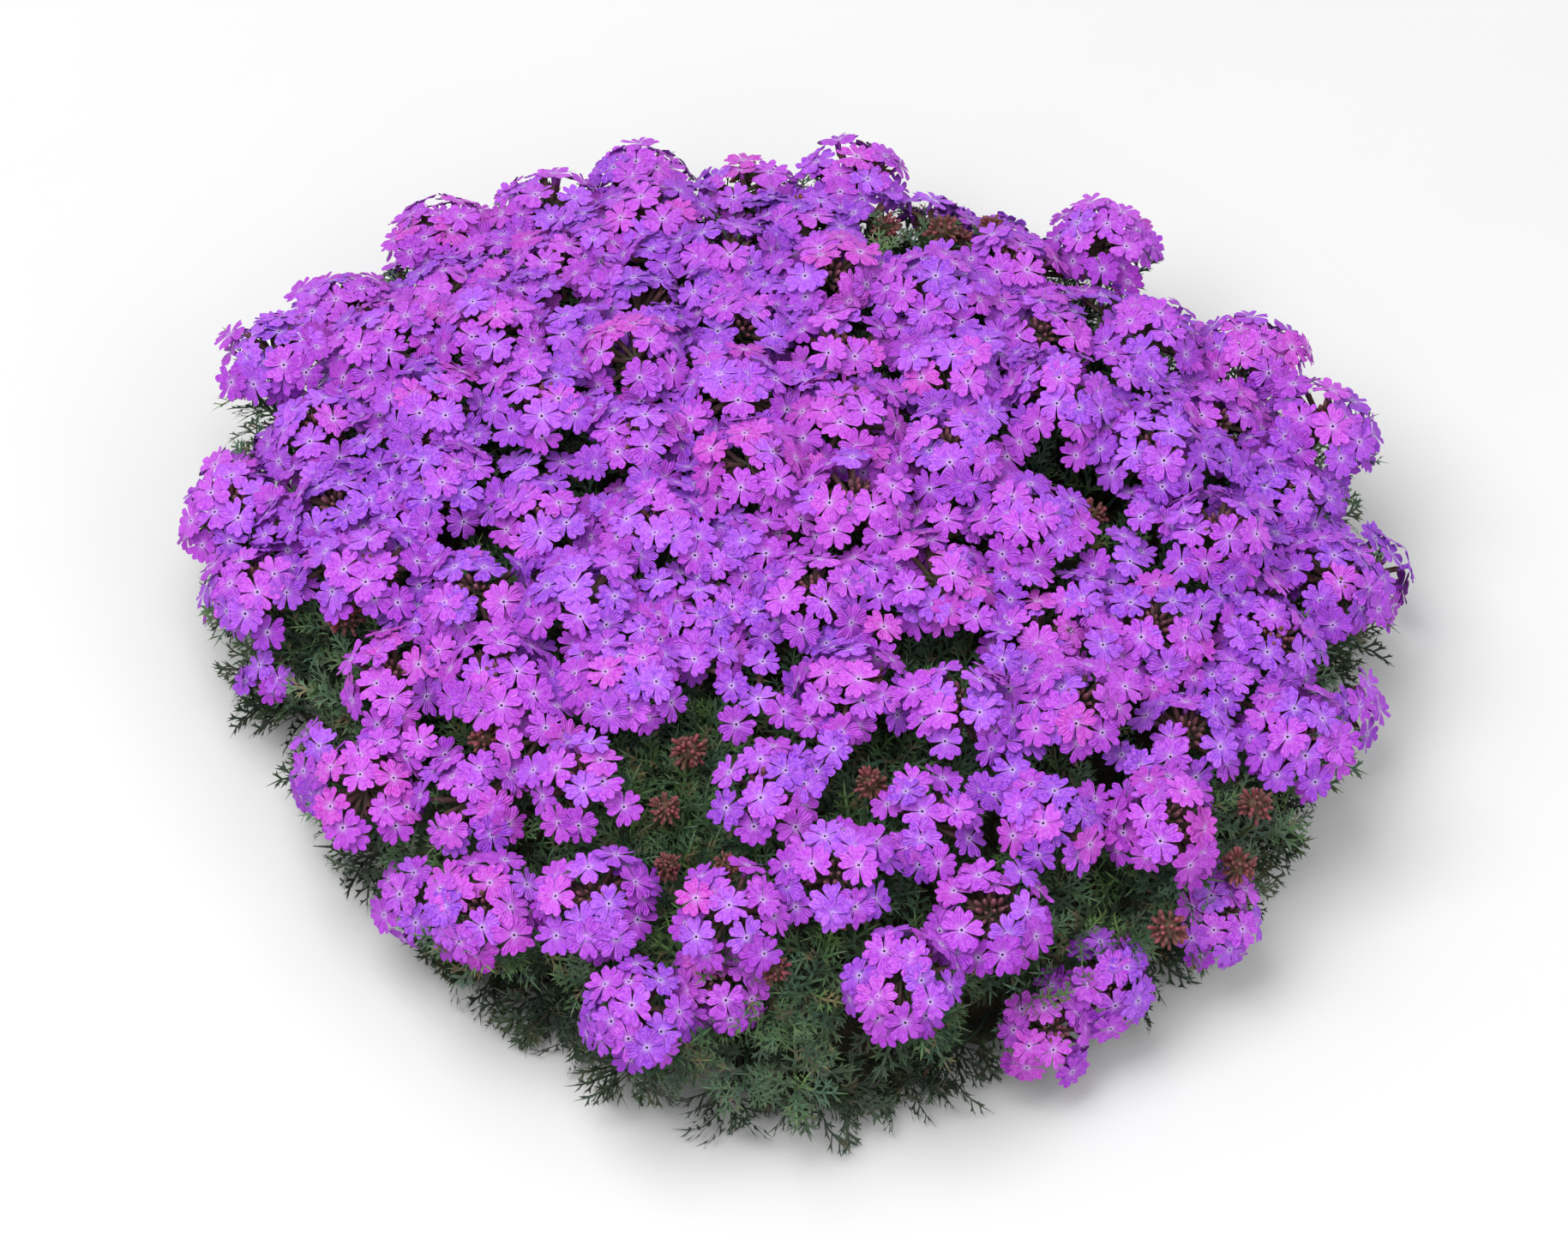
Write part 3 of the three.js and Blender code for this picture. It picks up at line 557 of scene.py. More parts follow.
def finish_material(tree, colour, mask, rough, height, bump, constants=()):
    """The shader with its colour, a roughness that a mask moves between two values, and its bumps."""
    normal = new_node(tree, "ShaderNodeBump", {"Height": height, "Strength": bump, "Distance": BUMP_DEPTH})
    roughness = spread(tree, mask, 0.0, 1.0, *rough)
    inputs = {"Base Color": colour, "Roughness": roughness, "Normal": normal.outputs[0]}
    shader = new_node(tree, "ShaderNodeBsdfPrincipled", {**inputs, **dict(constants)})
    new_node(tree, "ShaderNodeOutputMaterial", {"Surface": shader.outputs[0]})


# How strongly the pale eye shows along a petal, and how sharply the throat is cut into it.
EYE_GLOW = [(0.0, 0), (0.09, 0.7), (0.15, 0.42), (0.21, 0.14), (0.4, 0)]
THROAT_EDGE = (0.07, 0.11)
PETAL_VEINS = 16.0
VELVET = {"Specular IOR Level": 0.2, "Sheen Weight": 0.04, "Sheen Roughness": 0.4}


def petal_material(settings):
    """Velvety petals, from blue violet to pink by age, with a pale eye, painted highlights on their
    crinkles, painted shade low on the heads and a throat painted dark as shade.
    """
    material, tree = new_material("verbena_petal")
    stops = [
        (0.0, settings.blue_violet),
        (0.22, settings.lavender),
        (0.45, settings.violet),
        (0.66, settings.orchid),
        (1.0, settings.pink_violet),
    ]
    tone = ramp(tree, mark_of(tree, "tone"), stops)
    patchy = mottled(tree, tone, darker(settings.violet, 0.72), size=0.0025, amount=0.3)
    # Painted highlights: the raised crinkles are paled as if they catch the light.
    crinkled = mottled(tree, patchy["Colour"], settings.highlight_violet, size=0.0011, amount=0.46)
    reach = mark_of(tree, "reach")
    # Painted shade: florets low on a head's flank and on the lesser heads are darkened towards a deep
    # violet by their depth mark.
    low = spread(tree, mark_of(tree, "depth"), 0.0, 1.0, highest=0.6)
    sunk = blended(tree, low, crinkled["Colour"], settings.shaded_violet)
    veins = calc(tree, "SINE", calc(tree, "MULTIPLY", mark_of(tree, "across"), PETAL_VEINS))
    streaks = spread(tree, veins, 0.2, 1.0, highest=0.22)
    veined = blended(tree, streaks, sunk, darker(settings.violet, 0.6))
    eye = ramp(tree, reach, [(place, (glow,) * 3) for place, glow in EYE_GLOW])
    eyed = blended(tree, eye, veined, settings.eye)
    # Painted shade: the throat, the opening of the tube, is painted near black for the shade down in the
    # tube.
    throat = spread(tree, reach, *THROAT_EDGE, 1.0, 0.0)
    colour = blended(tree, throat, eyed, settings.throat)
    height = calc(tree, "ADD", crinkled["Height"], veins)
    finish_material(tree, colour, patchy["Mask"], (0.5, 0.68), height, 0.5, VELVET)
    return material


def leaf_material(settings):
    """Cut leaves: bottle green with lighter tips, a dull bloom in places, some withered brown, and painted
    shade deeper in the cushion.
    """
    material, tree = new_material("verbena_leaf")
    stops = [(0.0, settings.deep_green), (0.55, settings.green), (1.0, settings.young_green)]
    tone = ramp(tree, mark_of(tree, "tone"), stops)
    patchy = mottled(tree, tone, darker(settings.green, 0.5), size=0.004, amount=0.5)
    tip = spread(tree, mark_of(tree, "reach"), 0.4, 1.0, highest=0.45)
    tipped = blended(tree, tip, patchy["Colour"], settings.tip_green)
    bloomed = mottled(tree, tipped, settings.grey_green, size=0.014, amount=0.62)
    patches = mottled(tree, settings.green, settings.green, size=0.008, amount=0.0)
    dry = spread(tree, patches["Mask"], 0.7, 1.0, highest=0.65)
    withered = blended(tree, dry, bloomed["Colour"], settings.dry_brown)
    # Painted shade: leaves deeper below the cushion's top are darkened towards a shaded green.
    deep = spread(tree, mark_of(tree, "depth"), 0.0, 1.0, highest=0.65)
    colour = blended(tree, deep, withered, settings.shaded_green)
    finish_material(tree, colour, patchy["Mask"], (0.45, 0.7), patchy["Height"], 0.3)
    return material


def stalk_material(settings):
    """Thin green stalks, browner towards their foot."""
    material, tree = new_material("verbena_stalk")
    tone = ramp(tree, mark_of(tree, "reach"), [(0.0, settings.stem_brown), (0.6, settings.stalk_green)])
    patchy = mottled(tree, tone, darker(settings.stem_brown, 0.5), size=0.003, amount=0.5)
    finish_material(tree, patchy["Colour"], patchy["Mask"], (0.5, 0.75), patchy["Height"], 0.4)
    return material


def bud_material(name, base, middle, tip, size, variety):
    """Ribbed calyces, from their foot to their teeth, each of its own tone."""
    material, tree = new_material(name)
    along = ramp(tree, mark_of(tree, "reach"), [(0.0, base), (0.5, middle), (1.0, tip)])
    toned = spread(tree, mark_of(tree, "tone"), 0.0, 1.0, highest=variety)
    varied = blended(tree, toned, along, base)
    patchy = mottled(tree, varied, darker(middle, 0.45), size, amount=0.5)
    finish_material(tree, patchy["Colour"], patchy["Mask"], (0.55, 0.85), patchy["Height"], 0.5)
    return material


def bark_material(name, dark, light, size):
    """Weathered bark, cracked lengthwise, and darker in the cracks, partly its own colour and partly
    painted shade.
    """
    material, tree = new_material(name)
    patchy = mottled(tree, light, dark, size, amount=0.9)
    place = new_node(tree, "ShaderNodeTexCoord").outputs["Object"]
    stretch = new_node(tree, "ShaderNodeMapping", {"Vector": place, "Scale": (1.0, 1.0, 0.3)})
    cell = {"Vector": stretch.outputs[0], "Scale": 500.0}
    cracks = new_node(tree, "ShaderNodeTexVoronoi", cell, feature="DISTANCE_TO_EDGE").outputs["Distance"]
    # Darker in the cracks: partly the bark's own colour there and partly painted shade.
    crack_dark_and_shade = spread(tree, cracks, 0.0, 0.12, 0.7, 0.0)
    colour = blended(tree, crack_dark_and_shade, patchy["Colour"], darker(dark, 0.4))
    height = calc(tree, "ADD", patchy["Height"], cracks)
    finish_material(tree, colour, patchy["Mask"], (0.75, 0.95), height, 0.7)
    return material


# ---- Settings --------------------------------------------------------------------------------------


def size_setting(name, description, millimetres):
    return FloatProperty(name=name, description=description, default=millimetres * MM, unit="LENGTH", min=0)


def count_setting(name, description, count):
    return IntProperty(name=name, description=description, default=count, min=1)


def colour_setting(name, description, colour):
    return FloatVectorProperty(
        name=name, description=description, default=colour, subtype="COLOR", size=3, min=0, max=1
    )


class VerbenaFlowers(bpy.types.PropertyGroup):
    """Florets and the heads that they form."""

    floret_radius: size_setting("Floret radius", "From the eye to the petal tips", 7.4)
    notch: size_setting("Petal notch", "Depth of the notch in a petal's tip", 1.7)
    tube: size_setting("Tube length", "Length of a floret's tube", 6)
    inner_ring: count_setting("Inner ring", "Florets round the buds of a head", 6)
    outer_ring: count_setting("Outer ring", "Florets on the flank of a head", 10)
    knot_buds: count_setting("Buds", "Dark buds in the middle of a head", 13)
    spent_calyces: count_setting("Spent calyces", "Calyces without a floret on a head", 14)
    blue_violet: colour_setting("Blue violet", "Petals that have gone bluish", (0.19, 0.034, 0.68))
    lavender: colour_setting("Lavender", "Paler bluish petals", (0.41, 0.105, 0.96))
    violet: colour_setting("Violet", "Fresh petals", (0.41, 0.03, 0.68))
    orchid: colour_setting("Orchid", "Paler pinkish petals", (0.58, 0.075, 0.8))
    pink_violet: colour_setting("Pink violet", "Older petals", (0.6, 0.036, 0.55))
    # Painted highlights on the crinkles of the petals.
    highlight_violet: colour_setting("Pale violet", "Crinkles that catch the light", (0.86, 0.3, 0.98))
    # Painted shade for florets low on a head and on the lesser heads.
    shaded_violet: colour_setting("Sunk violet", "Petals low on a head", (0.27, 0.008, 0.46))
    eye: colour_setting("Eye", "The pale ring round the throat", (0.72, 0.56, 0.93))
    # Painted shade down in the floret's tube.
    throat: colour_setting("Throat", "The opening of the tube", (0.03, 0.015, 0.06))
    calyx_foot: colour_setting("Calyx foot", "Green base of a calyx", (0.045, 0.06, 0.022))
    calyx_dark: colour_setting("Calyx", "Dark flank of a calyx", (0.15, 0.034, 0.055))
    calyx_tip: colour_setting("Calyx teeth", "Tip of a bud", (0.28, 0.075, 0.12))


class VerbenaBudHeads(bpy.types.PropertyGroup):
    """Young and spent heads."""

    radius: size_setting("Radius", "From the middle to the tips of the buds", 7)
    buds: count_setting("Buds", "Calyces on one head", 44)
    foot: colour_setting("Foot", "Base of the calyces", (0.1, 0.075, 0.035))
    middle: colour_setting("Flank", "Dusty red of the calyces", (0.21, 0.03, 0.042))
    tip: colour_setting("Tip", "Pale teeth of the calyces", (0.4, 0.09, 0.125))


class VerbenaFoliage(bpy.types.PropertyGroup):
    """Leafy shoots."""

    leaf: size_setting("Leaf length", "Length of a cut leaf", 19)
    nodes: count_setting("Leaf pairs", "Pairs of leaves on one shoot", 6)
    spacing: size_setting("Shoot pitch", "Scale of the spiral that spreads the shoots", 10)
    deep_green: colour_setting("Deep green", "Oldest leaves", (0.014, 0.038, 0.014))
    green: colour_setting("Green", "Most leaves", (0.042, 0.102, 0.024))
    young_green: colour_setting("Young green", "Youngest leaves", (0.135, 0.25, 0.05))
    tip_green: colour_setting("Tip green", "Tips of the leaves", (0.19, 0.33, 0.09))
    grey_green: colour_setting("Grey green", "Leaves with a dull bloom", (0.075, 0.155, 0.12))
    dry_brown: colour_setting("Dry brown", "Withered tips among the leaves", (0.23, 0.125, 0.065))
    # Painted shade for leaves deep in the cushion.
    shaded_green: colour_setting("Inner green", "Leaves deep in the cushion", (0.026, 0.036, 0.022))
    stalk_green: colour_setting("Stalk green", "Flower stalks under their heads", (0.06, 0.085, 0.025))
    stem_brown: colour_setting("Stem brown", "Foot of the stalks and shoots", (0.07, 0.045, 0.022))


class VerbenaWood(bpy.types.PropertyGroup):
    """Root crown, trailing stems and the dead twigs under the leaves."""

    bark_light: colour_setting("Bark", "Raised bark", (0.19, 0.12, 0.065))
    bark_dark: colour_setting("Dark bark", "Bark in the cracks", (0.06, 0.035, 0.018))
    thatch_light: colour_setting("Thatch", "Dead twigs", (0.075, 0.055, 0.028))
    # Partly dead leaves and partly painted shade under the leaves: dark and greenish.
    dead_leaves_and_shade: colour_setting("Dark thatch", "Dead leaves between them", (0.02, 0.024, 0.012))


class VerbenaStage(bpy.types.PropertyGroup):
    """Floor, light and camera."""

    floor: colour_setting("Floor", "The plain floor", (0.8, 0.8, 0.79))
    key: FloatProperty(name="Key light", description="Power of the large light", default=18.5, unit="POWER")
    sky: FloatProperty(name="Sky", description="Strength of the light from all sides", default=0.66)


# ---- Plan of one build -----------------------------------------------------------------------------

# Lesser heads: the spiral of places that they may take, the distance that they need from other heads and
# how much more of it at the front, how deep they are sunk and how much deeper at the rim, how far they
# differ in height, and the slopes at which they lean: out, out at the rim, by chance and forward.
FILLERS = SimpleNamespace(
    tries=2100, pitch=5.2, room=16, front_room=9, sunk=9, rim_sunk=8, uneven=4,
    lean=0.15, rim_lean=0.9, random_lean=0.3, front_lean=0.1,
)
EDGE_HEAD_SIZE = 0.85
FEWEST_FLORETS = 4  # lesser heads that have room for fewer are left out

# How common each kind of main head is: with most buds still closed in its middle, with fewer, and with
# florets all over it. At the back of the mat, where only their tops show, all are of the last kind.
KIND_SHARES = {"fresh": 0.3, "full": 0.42, "old": 0.28}

# A head's dome of florets: its half width, its height and the level of its foot, the share of their
# place's slope by which florets tilt, and how far they stray from their ring in each way.
DOME = SimpleNamespace(half_width=17, height=10, foot=-6, tilt=0.56)
STRAY = SimpleNamespace(turn=0.48, polar=12, reach=1.9, height=2, tilt=0.3)
LOW_RING_FROM = 0.8  # heads further out than this share of the mat's reach have one more, low ring
LOW_RING_FLORETS = 6
LOWEST_RING = 99  # its angle from the middle of a main head, in degrees
FILLER_LOWEST_RING = 86

FLORET_OVERLAP = 2.4  # how far a floret may be nearer to another head than to its own

# Florets of a main head stay even in a clearing if they are this near to its middle, or this far in
# front of it, so that no head is cut open where it shows.
HEAD_HEART = 13
HEAD_FRONT = 6


def numbered(name, count):
    return [f"{name}_{n + 1:02d}" for n in range(count)]


def quarter_of(x, y):
    """Which quarter of the plant a place is in: 0 right, 1 back, 2 left, 3 front."""
    return int(math.floor((math.atan2(y, x) + math.pi / 4) / (math.pi / 2))) % 4


def lay_out_fillers(heads, rng):
    """The edge heads, and lesser heads wherever the gaps between the others are widest."""
    x, y = spiral(FILLERS.tries, FILLERS.pitch)
    outermost = 0.96 + 0.03 * y / np.hypot(x, y)  # further out at the back
    keep = (share(x, y) < outermost) & (ragged_clearing(x, y, 5) > 1)
    x, y = x[keep], y[keep]
    room = FILLERS.room + FILLERS.front_room * climb(-y, 65, 50)
    fillers = [filler_at(*place, EDGE_HEAD_SIZE, "edge", rng) for place in EDGE_HEADS]
    apart = np.min([np.hypot(x - h.x, y - h.y) for h in heads + fillers], 0)
    while (apart - room).max() > 0:
        k = int((apart - room).argmax())
        size = float(np.clip((apart[k] - 6) / 18, 0.6, 0.95))  # to fill the room that it has
        fillers.append(filler_at(x[k], y[k], size, "filler", rng))
        apart = np.minimum(apart, np.hypot(x - x[k], y - y[k]))
    return fillers


def filler_at(x, y, size, kind, rng):
    """A lesser head, sunk among the leaves, and leaning out the more the nearer it is to the rim."""
    outness = share(x, y)
    sunk = FILLERS.sunk + FILLERS.rim_sunk * climb(outness, 0.8, 0.17)
    z = cushion_top(x, y) + head_lift(x, y) - sunk + FILLERS.uneven * (rng.random() - 0.5)
    out = (FILLERS.lean + FILLERS.rim_lean * outness**4) / max(1, math.hypot(x, y))
    lean_x = out * x + FILLERS.random_lean * (rng.random() - 0.5)
    lean_y = out * y + FILLERS.random_lean * (rng.random() - 0.5) - FILLERS.front_lean
    axis = unit(np.array([lean_x, lean_y, 1]))
    place = {"x": x, "y": y, "centre": np.array([x, y, z])}
    return SimpleNamespace(**place, axis=axis, scale=size, kind=kind, mate=None, node=None)


def joined(rows):
    """Rows of named arrays put end to end."""
    return {what: np.concatenate([row[what] for row in rows]) for what in rows[0]}


def head_florets(head, rng, settings):
    """The florets of a head in its own frame, ring by ring: where they are and face, sizes and so on.

    Ages run from 0 to 1 from the youngest, in the middle. The depth of the painted shade runs from 0 to 1
    from the top of the head down its flank, and lesser heads get more of it.
    """
    inner, outer = settings.inner_ring, settings.outer_ring
    rings = {  # the angle of each ring from the middle of the head, and how many florets it has
        "fresh": [(34, inner - 1), (68, outer - 1)],
        "full": [(32, inner - 1), (67, outer)],
        "old": [(8, 1), (38, inner), (72, outer)],
        "filler": [(6, 1), (42, inner - 1)],
        "edge": [(34, inner - 1), (68, outer - 2)],
    }[head.kind]
    filler = head.kind == "filler"
    if share(head.x, head.y) > LOW_RING_FROM:
        rings.append((FILLER_LOWEST_RING if filler else LOWEST_RING, LOW_RING_FLORETS))
    start = 2 * np.pi * rng.random()
    rows = []
    for n, (polar, count) in enumerate(rings):
        steps = np.arange(count) + STRAY.turn * rng.uniform(-1, 1, count)
        out = around(start + 0.5 * n + 2 * np.pi * steps / count)
        theta = np.radians(polar + rng.uniform(-STRAY.polar, STRAY.polar, count))
        reach = DOME.half_width * np.sin(theta) + rng.uniform(-STRAY.reach, STRAY.reach, count)
        height = DOME.foot + DOME.height * np.cos(theta) + rng.uniform(-STRAY.height, STRAY.height, count)
        tilt = DOME.tilt * theta + rng.uniform(-STRAY.tilt, STRAY.tilt, count)
        row = {
            "places": out * reach[:, None] + UP * height[:, None],
            "directions": out * np.sin(tilt)[:, None] + UP * np.cos(tilt)[:, None],
            "sizes": rng.uniform(0.92, 1.05, count) * (1 - 0.04 * n),
            "ages": np.clip(polar / LOWEST_RING + rng.normal(0, 0.15, count), 0, 1),
            # Painted shade: how much a floret low on its head, or on a lesser head, is darkened.
            "depths": np.clip((np.degrees(theta) - 40) / 55 + 0.4 * filler, 0, 1),
        }
        rows.append(row)
    return joined(rows)


def florets_that_fit(head, places, others):
    """Which florets of a head run into no other head that matters to it, and into no clearing."""
    higher = 0.5 * (head.centre[2] - others[:, 2]) * (head.kind != "edge")
    other = np.min(np.linalg.norm(places[:, None, :2] - others[None, :, :2], axis=-1) + higher, 1)
    own = np.linalg.norm(places[:, :2] - head.centre[:2], axis=-1)
    fit = own < other + FLORET_OVERLAP
    if head.kind == "filler":
        fit &= ragged_clearing(*places.T[:2], 4) > 1
    elif head.kind != "edge":
        in_front = places[:, 1] < head.centre[1] - HEAD_FRONT
        fit &= (clearing_share(*places.T[:2], -2) > 1) | in_front | (own < HEAD_HEART)
    return fit


def plan_heads(settings):
    """Every main head and every lesser one, with its florets in the plant's frame."""
    rng = np.random.default_rng(SEED + STREAMS.heads)
    heads = lay_out_heads()
    for head in heads:
        head.kind = rng.choice(list(KIND_SHARES), p=list(KIND_SHARES.values()))
        if head.y > 80 and share(head.x, head.y) > 0.75:
            head.kind = "old"
    fillers = lay_out_fillers(heads, rng)
    every = heads + fillers
    spots = np.array([head.centre for head in every])
    for n, head in enumerate(every):
        florets = head_florets(head, rng, settings)
        head.basis = bases_along(head.axis[None], np.zeros(1))[0]
        florets["places"] = florets["places"] @ head.basis * head.scale + head.centre
        florets["directions"] = florets["directions"] @ head.basis
        florets["sizes"] *= 0.5 + 0.5 * head.scale
        rivals = spots if head.kind == "filler" else spots[: len(heads)]
        others = np.delete(rivals, n, 0) if n < len(rivals) else rivals
        fit = florets_that_fit(head, florets["places"], others)
        wave = 0.43 + 0.13 * np.sin(head.x / 47 + 0.6) * np.cos(head.y / 39 - 0.4)
        # Painted shade: lesser heads, low in the gaps between the others, are given bluer tones.
        mood = wave + rng.normal(0, 0.13) - 0.16 * (head.kind == "filler")
        aged = 0.2 * (florets["ages"] - 0.4) * rng.choice([-1, 1])
        florets["tones"] = np.clip(mood + aged + rng.normal(0, 0.23, len(aged)), 0, 1)
        head.florets = {what: values[fit] for what, values in florets.items()}
        head.quarter = quarter_of(head.x, head.y)
    for head in heads:  # a pair is one node, so it goes into one piece
        if head.mate is not None:
            head.quarter = head.mate.quarter = quarter_of(head.x + head.mate.x, head.y + head.mate.y)
    return heads, [head for head in fillers if len(head.florets["places"]) >= FEWEST_FLORETS]


def plan_bud_heads():
    """The bud heads of the solids and then the smaller ones."""
    rng = np.random.default_rng(SEED + STREAMS.lesser_buds)
    main = lay_out_bud_heads()
    lesser = []
    for x, y in SPENT_HEADS:
        centre = np.array([x, y, cushion_top(x, y) + rng.uniform(5, 12)])
        axis = unit(np.array([rng.uniform(-0.3, 0.3), rng.uniform(-0.4, 0.2), 1]))
        lesser.append(SimpleNamespace(centre=centre, axis=axis, scale=rng.uniform(0.7, 0.95)))
    return main, lesser


# ---- Florets ---------------------------------------------------------------------------------------

PETAL_ALONG = np.array([0, 0.36, 0.74, 1])  # rows and columns of a petal's points
PETAL_ACROSS = np.array([-1, -0.68, -0.3, 0, 0.3, 0.68, 1])
PETALS = 5
PETAL_HALF_WIDTHS = np.array([0.09, 0.265, 0.405, 0.335])  # as shares of the floret's radius
EYE_RADIUS = 0.13  # where the petals begin, as such a share
EYE_RIM = 0.17  # the raised eye's outer and inner radius, as such shares
EYE_MOUTH = 0.09
EYE_MARKS = [0.16] * 5 + [0.11] * 5 + [0.0]  # its reach at its rim, at its mouth and in the throat


def petal_shape(rng, radius, notch):
    """One petal along x: narrow at the eye, broad and notched at its tip, creased along its middle."""
    along, across = np.meshgrid(PETAL_ALONG, PETAL_ACROSS, indexing="ij")
    start = EYE_RADIUS * radius
    length = radius * rng.uniform(0.93, 1.05)
    width = radius * rng.uniform(0.92, 1.08) * PETAL_HALF_WIDTHS[:, None]
    lobes = length * (1 + 0.06 * rng.normal() * across - 0.12 * np.abs(across) ** 3)
    tip = lobes - notch * rng.uniform(0.8, 1.2) * np.exp(-((across / 0.3) ** 2))
    x = start + (tip - start) * along
    y = width * across
    lift, roll, curl = rng.uniform(0.0, 0.24), rng.uniform(-0.2, 0.2), rng.uniform(0.05, 0.6)
    crease = 0.34 * np.exp(-((across / 0.4) ** 2)) * np.sqrt(along)
    edge = rng.uniform(-0.35, 0.45) * across**2 * along
    wave = 0.26 * np.sin(5 * across + 6.3 * rng.random()) * along**2
    z = lift * (x - start) + roll * y - curl * radius * 0.3 * along**3 - crease + edge + wave
    return np.stack([x, y, z], -1).reshape(-1, 3), (x / radius).ravel(), across.ravel()


def floret_shape(rng, settings):
    """A floret at its eye, facing up z: five petals, a raised eye, its throat and its tube."""
    radius, notch = settings.floret_radius / MM, settings.notch / MM
    points, faces, reach, across, jitter = [], [], [], [], []

    def put(new_points, new_faces, new_reach, new_across=0.0, new_jitter=0.0):
        faces.append(new_faces + sum(map(len, points)))
        points.append(new_points)
        for values, new in ((reach, new_reach), (across, new_across), (jitter, new_jitter)):
            values.append(np.broadcast_to(new, len(new_points)))

    for k in range(PETALS):
        petal, petal_reach, petal_across = petal_shape(rng, radius, notch)
        turn = 2 * np.pi * k / PETALS + rng.normal(0, 0.06)
        spin = np.array([[np.cos(turn), np.sin(turn), 0], [-np.sin(turn), np.cos(turn), 0], [0, 0, 1]])
        sheet = grid_faces(len(PETAL_ALONG), len(PETAL_ACROSS))
        put(petal @ spin, sheet, petal_reach, petal_across, rng.normal(0, 0.05))
    put(*revolved([(EYE_RIM * radius, -0.05), (EYE_MOUTH * radius, 0.2), (0, -1.1)], 5), EYE_MARKS)
    put(*revolved([(0.09 * radius, -settings.tube / MM), (0.15 * radius, 0)], 4), 0.5)
    return (np.concatenate(points), np.concatenate(faces)), *map(np.concatenate, (reach, across, jitter))


def calyx_shape():
    """A calyx from its foot at 0 to its mouth at 1 along z, with five teeth, at a radius of 1."""
    points, faces = revolved([(0.55, 0), (0.95, 0.45), (1.0, 0.86)], 5)
    teeth = 1.15 * around(2 * np.pi * (np.arange(5) + 0.5) / 5) + UP
    tooth = [(10 + k, 10 + (k + 1) % 5, 15 + k) for k in range(5)]
    return np.concatenate([points, teeth]), np.concatenate([faces, tooth])


CALYX = calyx_shape()
CALYX_RADIUS = 1.05
BUD = revolved([(0.45, 0), (1.0, 2.0), (0.65, 3.6), (0, 4.2)], 5)
SPENT_BUD = revolved([(0.45, 0), (1.0, 0.7), (0.7, 0.93), (0, 1)], 5)


# ---- Operators -------------------------------------------------------------------------------------


# Radii and heights of the crown from the middle of its cut foot, and bearings of its stubs in degrees.
CROWN_PROFILE = [(0, 0), (8, 0), (13.2, 0), (13.9, 0.5), (14.3, 4), (12.6, 8.4), (9.6, 11.2)]
CROWN_PROFILE += [(5, 12.9), (0, 13)]
STUB_BEARINGS = [20, 65, 112, 160, 205, 250, 295, 340]
STUB_PATH = [(6, 7), (9, 11), (12, 13), (13, 15.5)]  # distances out and heights

RUNNER_RISE = ([0, 0.2, 0.5, 0.8, 1], [8, 9, 4, 4, 11])  # heights of a trailing stem along its way
RUNNER_FORKS = (0.25, 0.45, 0.62)  # where side stems leave it
THATCH_TWIGS = 340
THATCH_REACH = 0.8  # reach of the mound of thatch, as a share of the mat's
FOOT_REACH = 0.74  # furthest foot of a shoot or stalk, as a share of the mat's reach


class VERBENA_OT_crown(bpy.types.Operator):
    """Add the woody root crown, flat where it was cut"""

    bl_idname = "verbena.crown"
    bl_label = "Root crown"

    def execute(self, context):
        wood = context.scene.verbena_wood
        sides, rows = 72, 26
        turns = 2 * np.pi * np.arange(sides) / sides
        places = np.linspace(0, len(CROWN_PROFILE) - 1, rows)
        corners = range(len(CROWN_PROFILE))
        radii, heights = (np.interp(places, corners, values) for values in zip(*CROWN_PROFILE))
        ridges = 0.55 * np.sin(9 * turns + 0.8 * np.sin(3 * turns)) + 0.3 * np.sin(23 * turns + 1)
        lobes = 0.5 * np.cos(3 * turns + 0.7)
        bulge = (ridges + lobes)[None] * climb(radii, 0, 9)[:, None] - 0.6
        r = np.maximum(radii[:, None] + bulge * (radii[:, None] > 0), 0.02)
        rough = 0.35 * tangled(9 * np.cos(turns), 9 * np.sin(turns))
        z = heights[:, None] + rough[None] * (heights > 2)[:, None]
        points = np.stack([r * np.cos(turns), r * np.sin(turns), z], -1)
        crown = Growth()
        crown.add(points.reshape(1, -1, 3), tube_faces(rows, sides))
        out = around(np.radians(STUB_BEARINGS))
        stubs = curved(np.stack([out * r + z * UP for r, z in STUB_PATH], 1), 6)
        crown.add_tubes(stubs, np.linspace(2.3, 1.2, 6), 7)
        material = bark_material("verbena_bark", wood.bark_dark, wood.bark_light, size=0.004)
        crown.piece("woody_crown", material, "bark", ["root_crown"])
        return {"FINISHED"}


